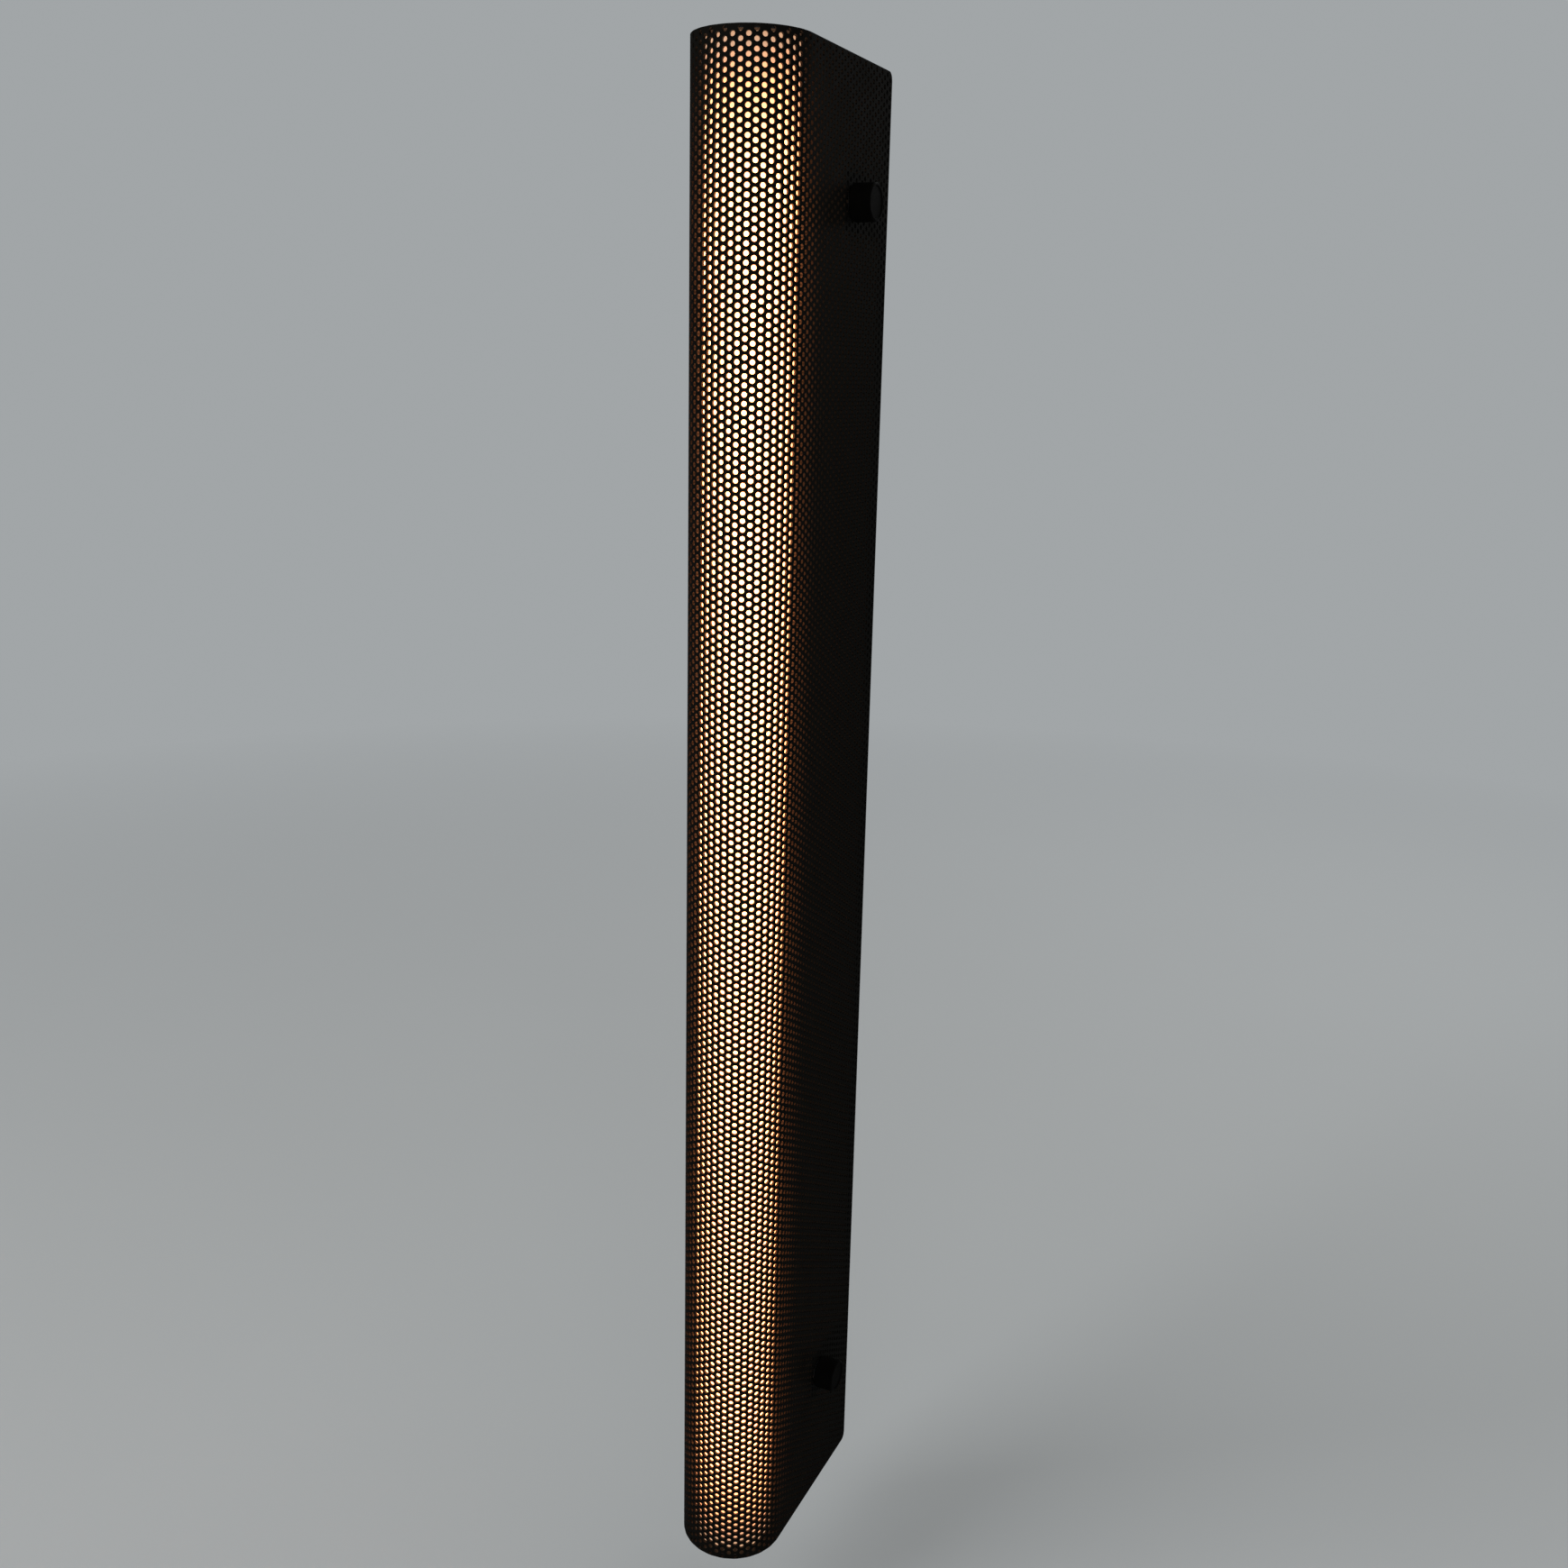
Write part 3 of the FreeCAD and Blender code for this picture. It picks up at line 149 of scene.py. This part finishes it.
class Finish:
    """A material and its node tree, with short ways to add and link nodes."""

    def __init__(self, name):
        self.material = bpy.data.materials.new(name)
        self.material.use_nodes = True
        self.nodes = self.material.node_tree.nodes
        self.shader = self.nodes["Principled BSDF"]
        self.place = self.nodes.new("ShaderNodeTexCoord").outputs["Object"]

    def link(self, source, target):
        self.material.node_tree.links.new(source, target)

    def noise(self, size, detail=4.0, stretch=None):
        """Cloudy values with clouds of about this size, which stretch squeezes along each axis."""
        node = self.nodes.new("ShaderNodeTexNoise")
        node.inputs["Scale"].default_value = 1 / size
        node.inputs["Detail"].default_value = detail
        place = self.place
        if stretch:
            mapping = self.nodes.new("ShaderNodeMapping")
            mapping.inputs["Scale"].default_value = stretch
            self.link(place, mapping.inputs["Vector"])
            place = mapping.outputs["Vector"]
        self.link(place, node.inputs["Vector"])
        return node.outputs["Fac"]

    def spread(self, source, low, high, start=NOISE_RANGE[0], end=NOISE_RANGE[1]):
        """Maps values between start and end, as noise gives them, to between low and high."""
        node = self.nodes.new("ShaderNodeMapRange")
        limits = {"From Min": start, "From Max": end, "To Min": low, "To Max": high}
        for socket, value in limits.items():
            node.inputs[socket].default_value = value
        self.link(source, node.inputs["Value"])
        return node.outputs["Result"]

    def blend(self, factor, first, second):
        """A colour between two, by a value from 0 to 1."""
        node = self.nodes.new("ShaderNodeMix")
        node.data_type = "RGBA"
        colour_inputs = [one for one in node.inputs if one.type == "RGBA"]
        for socket, colour in zip(colour_inputs, (first, second)):
            socket.default_value = (*colour, 1)
        self.link(factor, node.inputs["Factor"])
        return [one for one in node.outputs if one.type == "RGBA"][0]

    def grain(self, height, strength, depth):
        """Small bumps that follow a height from 0 to 1."""
        node = self.nodes.new("ShaderNodeBump")
        node.inputs["Strength"].default_value = strength
        node.inputs["Distance"].default_value = depth
        self.link(height, node.inputs["Height"])
        self.link(node.outputs["Normal"], self.shader.inputs["Normal"])

    def set(self, **values):
        for name, value in values.items():
            self.shader.inputs[name.replace("_", " ")].default_value = value


def surface(name, colour, worn, roughness, patch, grain, depth, stretch=None, **plain):
    """A finish whose colour and gloss drift from patch to patch, with a fine grain."""
    finish = Finish(name)
    patches = finish.noise(patch, stretch=stretch)
    drift = finish.spread(patches, 0, 1)
    finish.link(finish.blend(drift, colour, worn), finish.shader.inputs["Base Color"])
    finish.link(finish.spread(patches, *roughness), finish.shader.inputs["Roughness"])
    finish.grain(finish.noise(grain, detail=2.0, stretch=stretch), strength=0.25, depth=depth)
    finish.set(**plain)
    return finish.material


def powder_coat(name, colour, worn, gloss=0.3, roughness=(0.50, 0.64)):
    texture = {"patch": 18 * MM, "grain": 0.45 * MM, "depth": 0.05 * MM}
    return surface(name, colour, worn, roughness, **texture, Specular_IOR_Level=gloss)


def metal(name, colour, worn, roughness=(0.26, 0.42), stretch=None):
    texture = {"patch": 7 * MM, "grain": 0.6 * MM, "depth": 0.02 * MM, "stretch": stretch}
    return surface(name, colour, worn, roughness, **texture, Metallic=1.0)


def plastic(name, colour, worn, gloss=0.5, roughness=(0.38, 0.50)):
    texture = {"patch": 9 * MM, "grain": 0.5 * MM, "depth": 0.02 * MM}
    return surface(name, colour, worn, roughness, **texture, Specular_IOR_Level=gloss)


def lit(name, colour, worn, glow):
    """A plastic that gives light of the colour and strength of glow."""
    finish = Finish(name)
    drift = finish.spread(finish.noise(size=20 * MM), 0, 1)
    finish.link(finish.blend(drift, colour, worn), finish.shader.inputs["Base Color"])
    strength = max(glow)
    finish.set(Roughness=0.35, Emission_Strength=strength)
    finish.set(Emission_Color=(*[one / strength for one in glow], 1))
    return finish.material


# Each finish has its colour and its worn colour. Most are the record's material slots, and
# shade_inside and hole_edge are the shade's coat on its inside and on the walls of its holes.
# LENGTHWISE stretches the noise along the height, as drawn metal has it.
LENGTHWISE = (8, 8, 0.25)
FINISHES = {
    "shade_coat": powder_coat(
        "shade_coat", (0.0056, 0.0052, 0.0045), (0.0074, 0.0069, 0.0059), gloss=0.003
    ),
    "shade_inside": powder_coat(
        "shade_inside", (0.0080, 0.0074, 0.0062), (0.0120, 0.0110, 0.0090),
        gloss=0.6, roughness=(0.26, 0.40),
    ),
    "hole_edge": powder_coat(
        "hole_edge", (0.0050, 0.0046, 0.0039), (0.0076, 0.0068, 0.0056),
        gloss=0.16, roughness=(0.30, 0.44),
    ),
    "plate_coat": powder_coat("plate_coat", (0.012, 0.0115, 0.011), (0.018, 0.017, 0.016)),
    "knob_black": plastic(
        "knob_black", (0.0024, 0.0023, 0.0021), (0.0034, 0.0032, 0.0028),
        gloss=0.003, roughness=(0.42, 0.55),
    ),
    "zinc_steel": metal("zinc_steel", (0.62, 0.62, 0.60), (0.50, 0.50, 0.47)),
    "white_plastic": plastic("white_plastic", (0.78, 0.77, 0.74), (0.70, 0.69, 0.66)),
    "black_plastic": plastic("black_plastic", (0.016, 0.016, 0.016), (0.028, 0.027, 0.026)),
    "carrier_aluminium": metal(
        "carrier_aluminium", (0.74, 0.75, 0.76), (0.64, 0.65, 0.66), stretch=LENGTHWISE
    ),
    "lamp_board": plastic("lamp_board", (0.84, 0.84, 0.82), (0.76, 0.76, 0.73)),
    "lamp_chip": lit("lamp_chip", (0.85, 0.66, 0.16), (0.78, 0.58, 0.12), glow=(6.0, 4.2, 2.2)),
    "circuit_board": plastic("circuit_board", (0.020, 0.16, 0.055), (0.014, 0.12, 0.042)),
    "ferrite": plastic(
        "ferrite", (0.045, 0.045, 0.048), (0.07, 0.07, 0.072), roughness=(0.55, 0.75)
    ),
    "copper": metal("copper", (0.72, 0.33, 0.17), (0.58, 0.24, 0.11)),
    "can_sleeve": plastic(
        "can_sleeve", (0.012, 0.022, 0.06), (0.018, 0.032, 0.08), roughness=(0.25, 0.35)
    ),
    "terminal_plastic": plastic("terminal_plastic", (0.02, 0.02, 0.02), (0.032, 0.031, 0.03)),
    "brass": metal("brass", (0.78, 0.57, 0.26), (0.62, 0.43, 0.17)),
    "black_rubber": plastic(
        "black_rubber", (0.018, 0.018, 0.018), (0.03, 0.03, 0.03), roughness=(0.6, 0.8)
    ),
    "brown_insulation": plastic("brown_insulation", (0.11, 0.038, 0.014), (0.15, 0.055, 0.022)),
    "blue_insulation": plastic("blue_insulation", (0.015, 0.09, 0.42), (0.025, 0.12, 0.50)),
    "green_yellow_insulation": plastic(
        "green_yellow_insulation", (0.62, 0.50, 0.03), (0.04, 0.24, 0.05)
    ),
    "black_insulation": plastic("black_insulation", (0.014, 0.014, 0.014), (0.026, 0.026, 0.026)),
}


def dress_cad_nodes():
    """Gives every CAD node the finish of its slot in the record."""
    for part in frame["record"]["subparts"]:
        finish = FINISHES.get(part["material_slot"])
        if finish:
            mesh = frame["nodes"][part["node"]].data
            mesh.materials.clear()
            mesh.materials.append(finish)


# The perforated shade is laid out flat and then bent. across runs over the sheet from its left back
# edge round the front to the right one, and up from its bottom end to its top. The holes' hexagons
# have their corners on a lattice: u counts thirds of a column pitch across, from the first column,
# and v half hole pitches up.

U_PER_COLUMN = 3
V_PER_HOLE = 2
BEND_RADIUS = SHADE_RADIUS - SHADE_GAUGE / 2
FLAT_WIDTH = SHADE_BACK - BEND_AXIS
SHEET_WIDTH = 2 * FLAT_WIDTH + math.pi * BEND_RADIUS
COLUMN_PITCH = (SHEET_WIDTH / 2 - KNOB_ACROSS) / ((COLUMNS - 1) / 2 - KNOB_COLUMN)
MARGIN = KNOB_ACROSS - KNOB_COLUMN * COLUMN_PITCH
LAST_U = U_PER_COLUMN * (COLUMNS - 1)
LAST_V = round(V_PER_HOLE * SHEET_HEIGHT / HOLE_PITCH)
HEXAGON = [(2, 0), (1, 1), (-1, 1), (-2, 0), (-1, -1), (1, -1)]
NEIGHBOURS = [(3, 1), (0, 2), (-3, 1), (-3, -1), (0, -2), (3, -1)]


class FlatSheet:
    """Points of the flat sheet, and its faces with the band that each belongs to."""

    def __init__(self):
        self.points = []
        self.faces = []
        self.corners = {}

    def point(self, across, up):
        self.points.append((across, up))
        return len(self.points) - 1

    def corner(self, u, v):
        """The point at a lattice place, which is made once."""
        if (u, v) not in self.corners:
            self.corners[u, v] = self.point(*lattice_place(u, v))
        return self.corners[u, v]

    def ring(self, middle, radius, turns):
        """Points round a middle, one at each angle."""
        return [
            self.point(middle[0] + radius * math.cos(turn), middle[1] + radius * math.sin(turn))
            for turn in turns
        ]

    def face(self, v, points):
        """A face of the band that height v lies in."""
        self.faces.append((v * BANDS // (LAST_V + 1), points))


def lattice_place(u, v):
    """Where a lattice place lies on the sheet. The outermost ones lie on its side edges."""
    up = v * HOLE_PITCH / V_PER_HOLE
    if 0 <= u <= LAST_U:
        return MARGIN + u * COLUMN_PITCH / U_PER_COLUMN, up
    into_corner = max(SHADE_CORNER - min(up, SHEET_HEIGHT - up), 0)
    inset = SHADE_CORNER - math.sqrt(SHADE_CORNER**2 - into_corner**2)
    return (inset if u < 0 else SHEET_WIDTH - inset), up


def add_holes(sheet, studs):
    """A round hole in every hexagon, apart from the seven at each knob's stud."""
    plain = set(studs) | {(u + du, v + dv) for u, v in studs for du, dv in NEIGHBOURS}
    step = HOLE_SIDES // len(HEXAGON)
    for column in range(COLUMNS):
        for v in range(V_PER_HOLE - column % 2, LAST_V, V_PER_HOLE):
            u = U_PER_COLUMN * column
            if (u, v) in plain:
                continue
            ring = sheet.ring(lattice_place(u, v), HOLE_DIAMETER / 2, circle_turns(HOLE_SIDES))
            ring.append(ring[0])
            corners = [sheet.corner(u + du, v + dv) for du, dv in HEXAGON]
            for side, (start, end) in enumerate(edges_of(corners)):
                arc = ring[side * step:(side + 1) * step + 1]
                sheet.face(v, [start, end, *arc[::-1]])


def add_stud_holes(sheet, studs):
    """One larger hole where seven hexagons would be, for the stud of each knob."""
    for u, v in studs:
        middle = lattice_place(u, v)
        centre = {(u + du, v + dv) for du, dv in HEXAGON}
        around = {(u + nu + du, v + nv + dv) for nu, nv in NEIGHBOURS for du, dv in HEXAGON}
        turned = []
        for corner in around - centre:
            across, up = lattice_place(*corner)
            turned.append((math.atan2(up - middle[1], across - middle[0]), corner))
        turned.sort()
        outer = [sheet.corner(*corner) for _, corner in turned]
        inner = sheet.ring(middle, STUD_HOLE / 2, [turn for turn, _ in turned])
        for (a, b), (c, d) in zip(edges_of(outer), edges_of(inner)):
            sheet.face(v, [a, b, d, c])


def add_rims(sheet):
    """Half hexagons along both ends. The outermost ones have the sheet's rounded corners."""
    for v, inward in ((0, 1), (LAST_V, -1)):
        for u in range(0, LAST_U + 1, 2 * U_PER_COLUMN):
            left = rounded_corner(sheet, u, v) if u == 0 else [sheet.corner(u - 2, v)]
            right = rounded_corner(sheet, u, v) if u == LAST_U else [sheet.corner(u + 2, v)]
            inner_left = sheet.corner(u - 1, v + inward)
            inner_right = sheet.corner(u + 1, v + inward)
            outline = [inner_left, *left, *right[::-1], inner_right]
            sheet.face(v, outline if inward > 0 else outline[::-1])


def rounded_corner(sheet, u, v):
    """Points round a corner of the sheet, from its side to its end."""
    start = math.asin(1 - HOLE_PITCH / V_PER_HOLE / SHADE_CORNER)
    points = []
    for n in range(1, CORNER_STEPS + 1):
        turn = start + (math.pi / 2 - start) * n / CORNER_STEPS
        from_side = SHADE_CORNER * (1 - math.cos(turn))
        from_end = SHADE_CORNER * (1 - math.sin(turn))
        points.append(sheet.point(
            from_side if u == 0 else SHEET_WIDTH - from_side,
            from_end if v == 0 else SHEET_HEIGHT - from_end,
        ))
    return points


def bent(points, out):
    """Flat points on the bent sheet, out from the middle of its thickness."""
    across, up = np.array(points).T
    turn = np.clip((across - FLAT_WIDTH) / BEND_RADIUS, 0, math.pi)
    before = np.maximum(FLAT_WIDTH - across, 0)
    after = np.maximum(across - FLAT_WIDTH - math.pi * BEND_RADIUS, 0)
    radius = BEND_RADIUS + out
    y = BEND_AXIS - radius * np.sin(turn) + before + after
    return np.column_stack([-radius * np.cos(turn), y, up + SHADE_LOW.z])


def make_shade():
    """The perforated sheet, in bands that meet along the hexagons' edges.

    The inside has the outside's faces turned over, and walls stand on the edges of one face only.
    """
    sheet = FlatSheet()
    studs = [
        (u, round(V_PER_HOLE * up / HOLE_PITCH))
        for u in (U_PER_COLUMN * KNOB_COLUMN, LAST_U - U_PER_COLUMN * KNOB_COLUMN)
        for up in KNOBS_UP
    ]
    add_holes(sheet, studs)
    add_stud_holes(sheet, studs)
    add_rims(sheet)
    count = len(sheet.points)
    places = np.vstack([bent(sheet.points, side * SHADE_GAUGE / 2) for side in (1, -1)])
    shared = {edge for _, face in sheet.faces for edge in edges_of(face)}
    finishes = [FINISHES["shade_coat"], FINISHES["shade_inside"], FINISHES["hole_edge"]]
    outside, inside, edge = range(len(finishes))
    bands = [[] for _ in range(BANDS)]
    for band, face in sheet.faces:
        bands[band].append((face, outside))
        bands[band].append(([n + count for n in reversed(face)], inside))
        bands[band] += [
            ([b, a, a + count, b + count], edge) for a, b in edges_of(face) if (b, a) not in shared
        ]
    for number, band_faces in enumerate(bands, start=1):
        faces, face_finishes = zip(*band_faces)
        used = sorted({n for face in faces for n in face})
        order = {n: index for index, n in enumerate(used)}
        renumbered = [[order[n] for n in face] for face in faces]
        band = mesh_object(
            f"shade_band_{number}", places[used].tolist(), renumbered, finishes, face_finishes
        )
        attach(band, "shade")
        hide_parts("mesh_shade")


# The glowing tube


def eased(share):
    """Starts and ends slowly between 0 and 1."""
    return share * share * (3 - 2 * share)


def opal_finishes():
    """The tube's plastic in every zone of its glow, from the dimmest to the full one."""
    finishes = []
    for zone in range(FADE_ZONES + 1):
        share = eased((zone + 0.5) / (FADE_ZONES + 1))
        mixed = [end + (middle - end) * share for end, middle in zip(END_GLOW, MIDDLE_GLOW)]
        finishes.append(lit(f"opal_{zone}", (0.87, 0.84, 0.78), (0.91, 0.88, 0.82), mixed))
    return finishes


def glow_around(turn):
    """How much of its zone's glow the tube keeps at an angle round it: 1 in front, 0 behind."""
    from_front = math.acos(-math.sin(turn))
    share = (BACK_FADE[1] - from_front) / (BACK_FADE[1] - BACK_FADE[0])
    return min(max(share, 0), 1)


def make_tube():
    """The opal tube, a turned profile in zones that glow less at its ends and its back."""
    steps = [FADE_LENGTH * n / FADE_ZONES for n in range(1, FADE_ZONES + 1)]
    heights = [TUBE_LOW.z + TUBE_BEVEL, *[TUBE_LOW.z + step for step in steps]]
    heights += [TUBE_HIGH.z - step for step in reversed(steps)] + [TUBE_HIGH.z - TUBE_BEVEL]
    zones = [*range(FADE_ZONES), FADE_ZONES, *reversed(range(FADE_ZONES))]
    outer = TUBE_HIGH.x
    inner = outer - TUBE_WALL
    profile = [(outer, height) for height in heights]
    profile += [(outer - TUBE_BEVEL, TUBE_HIGH.z), (inner + TUBE_BEVEL, TUBE_HIGH.z)]
    profile += [(inner, height) for height in reversed(heights)]
    profile += [(inner + TUBE_BEVEL, TUBE_LOW.z), (outer - TUBE_BEVEL, TUBE_LOW.z)]
    end_zones = [0, 0, 0]
    profile_zones = [*zones, *end_zones, *reversed(zones), *end_zones]
    axis_y = (TUBE_LOW.y + TUBE_HIGH.y) / 2
    points = []
    for turn in circle_turns(ROUND_SIDES):
        points += [(r * math.cos(turn), axis_y + r * math.sin(turn), z) for r, z in profile]
    rings = len(profile)
    faces = []
    face_zones = []
    for side in range(ROUND_SIDES):
        here = side * rings
        there = (side + 1) % ROUND_SIDES * rings
        around = glow_around(2 * math.pi * (side + 0.5) / ROUND_SIDES)
        for ring, zone in enumerate(profile_zones):
            after = (ring + 1) % rings
            faces.append([here + ring, there + ring, there + after, here + after])
            face_zones.append(round(zone * around))
    tube = mesh_object("opal_tube", points, faces, opal_finishes(), face_zones)
    cut_lead_hole(tube)
    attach(tube, "wall_unit")
    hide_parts("diffuser_tube")


def cut_lead_hole(tube):
    """Bores the hole for the lead's bush through the tube's back."""
    middle = (BUSH_LOW + BUSH_HIGH) / 2
    radius = LEAD_HOLE / 2
    reach = BUSH_HIGH.y - BUSH_LOW.y
    points = [
        middle + Vector((radius * math.cos(turn), along, radius * math.sin(turn)))
        for along in (-reach, reach)
        for turn in circle_turns(ROUND_SIDES)
    ]
    near_end = list(range(ROUND_SIDES))
    far_end = [n + ROUND_SIDES for n in near_end]
    walls = [[b, a, c, d] for (a, b), (c, d) in zip(edges_of(near_end), edges_of(far_end))]
    drill = mesh_object("drill", points, [near_end, far_end[::-1], *walls], [])
    hole = tube.modifiers.new("Hole", "BOOLEAN")
    hole.object = drill
    hole.solver = "EXACT"
    evaluated = tube.evaluated_get(bpy.context.evaluated_depsgraph_get())
    tube.data = bpy.data.meshes.new_from_object(evaluated)
    tube.modifiers.clear()
    bpy.data.objects.remove(drill)


# Camera, floor and light


def make_camera():
    """The photograph's camera, which looks at the light from its right and from above."""
    back = Vector((
        math.sin(CAMERA_AZIMUTH) * math.cos(CAMERA_ELEVATION),
        -math.cos(CAMERA_AZIMUTH) * math.cos(CAMERA_ELEVATION),
        math.sin(CAMERA_ELEVATION),
    ))
    right = Vector((0, 0, 1)).cross(back).normalized()
    level = Matrix((right, back.cross(right), back)).transposed()
    turned = (level @ Matrix.Rotation(CAMERA_ROLL, 3, "Z")).to_4x4()
    data = bpy.data.cameras.new("camera")
    data.sensor_width = SENSOR_MM
    data.lens = SENSOR_MM * FOCAL_PX / PHOTO_SIDE_PX
    camera = bpy.data.objects.new("camera", data)
    camera.matrix_world = Matrix.Translation(CAMERA_AIM + back * CAMERA_DISTANCE) @ turned
    bpy.context.scene.collection.objects.link(camera)
    bpy.context.scene.camera = camera


def floor_finish():
    """A pale matte surface that turns into the plain backdrop further out."""
    finish = Finish("floor")
    drift = finish.spread(finish.noise(FLOOR_PATCH), 0, 1)
    finish.link(finish.blend(drift, *FLOOR_COLOURS), finish.shader.inputs["Base Color"])
    finish.set(Roughness=0.8, Specular_IOR_Level=0.1)
    distance = finish.nodes.new("ShaderNodeVectorMath")
    distance.operation = "LENGTH"
    finish.link(finish.place, distance.inputs[0])
    fade = finish.spread(distance.outputs["Value"], 0, 1, *FLOOR_FADE)
    plain = finish.nodes.new("ShaderNodeEmission")
    plain.inputs["Color"].default_value = (*BACKDROP, 1)
    mix = finish.nodes.new("ShaderNodeMixShader")
    finish.link(fade, mix.inputs[0])
    finish.link(finish.shader.outputs[0], mix.inputs[1])
    finish.link(plain.outputs[0], mix.inputs[2])
    finish.link(mix.outputs[0], finish.nodes["Material Output"].inputs["Surface"])
    return finish.material


def make_floor():
    """A round floor below the light, in rings about a middle point."""
    height = SHADE_LOW.z - FLOOR_DROP
    turns = circle_turns(ROUND_SIDES)
    points = [(0, 0, height)]
    for ring in range(1, FLOOR_RINGS + 1):
        radius = FLOOR_RADIUS * ring / FLOOR_RINGS
        points += [(radius * math.cos(turn), radius * math.sin(turn), height) for turn in turns]
    faces = []
    for side in range(ROUND_SIDES):
        after = (side + 1) % ROUND_SIDES
        faces.append([0, 1 + side, 1 + after])
        for ring in range(FLOOR_RINGS - 1):
            inner = 1 + ring * ROUND_SIDES
            outer = inner + ROUND_SIDES
            faces.append([inner + side, outer + side, outer + after, inner + after])
    mesh_object("floor", points, faces, [floor_finish()])


def make_world():
    """A pale background for the camera and for reflections, and less light from it on surfaces."""
    world = bpy.data.worlds.new("studio")
    world.use_nodes = True
    nodes, links = world.node_tree.nodes, world.node_tree.links
    background = nodes["Background"]
    background.inputs["Color"].default_value = (WORLD_LIGHT, WORLD_LIGHT, WORLD_LIGHT, 1)
    pale = nodes.new("ShaderNodeBackground")
    pale.inputs["Color"].default_value = (*BACKDROP, 1)
    path = nodes.new("ShaderNodeLightPath")
    seen = path.outputs["Is Camera Ray"]
    for ray in ("Is Glossy Ray", "Is Transmission Ray"):
        either = nodes.new("ShaderNodeMath")
        either.operation = "MAXIMUM"
        links.new(seen, either.inputs[0])
        links.new(path.outputs[ray], either.inputs[1])
        seen = either.outputs[0]
    mix = nodes.new("ShaderNodeMixShader")
    links.new(seen, mix.inputs[0])
    links.new(background.outputs[0], mix.inputs[1])
    links.new(pale.outputs[0], mix.inputs[2])
    links.new(mix.outputs[0], nodes["World Output"].inputs["Surface"])
    bpy.context.scene.world = world


def make_softbox(name, place, side, watts):
    """A square area lamp that faces the middle of the shade."""
    data = bpy.data.lights.new(name, "AREA")
    data.size = side
    data.energy = watts
    lamp = bpy.data.objects.new(name, data)
    lamp.location = place
    towards = Vector((0, BEND_AXIS, 0)) - lamp.location
    lamp.rotation_euler = towards.to_track_quat("-Z", "Y").to_euler()
    bpy.context.scene.collection.objects.link(lamp)


dress_cad_nodes()
make_shade()
make_tube()
make_camera()
make_floor()
make_world()
for lamp_name, lamp_values in SOFTBOXES.items():
    make_softbox(lamp_name, **lamp_values)
bpy.context.scene.view_settings.view_transform = "Standard"
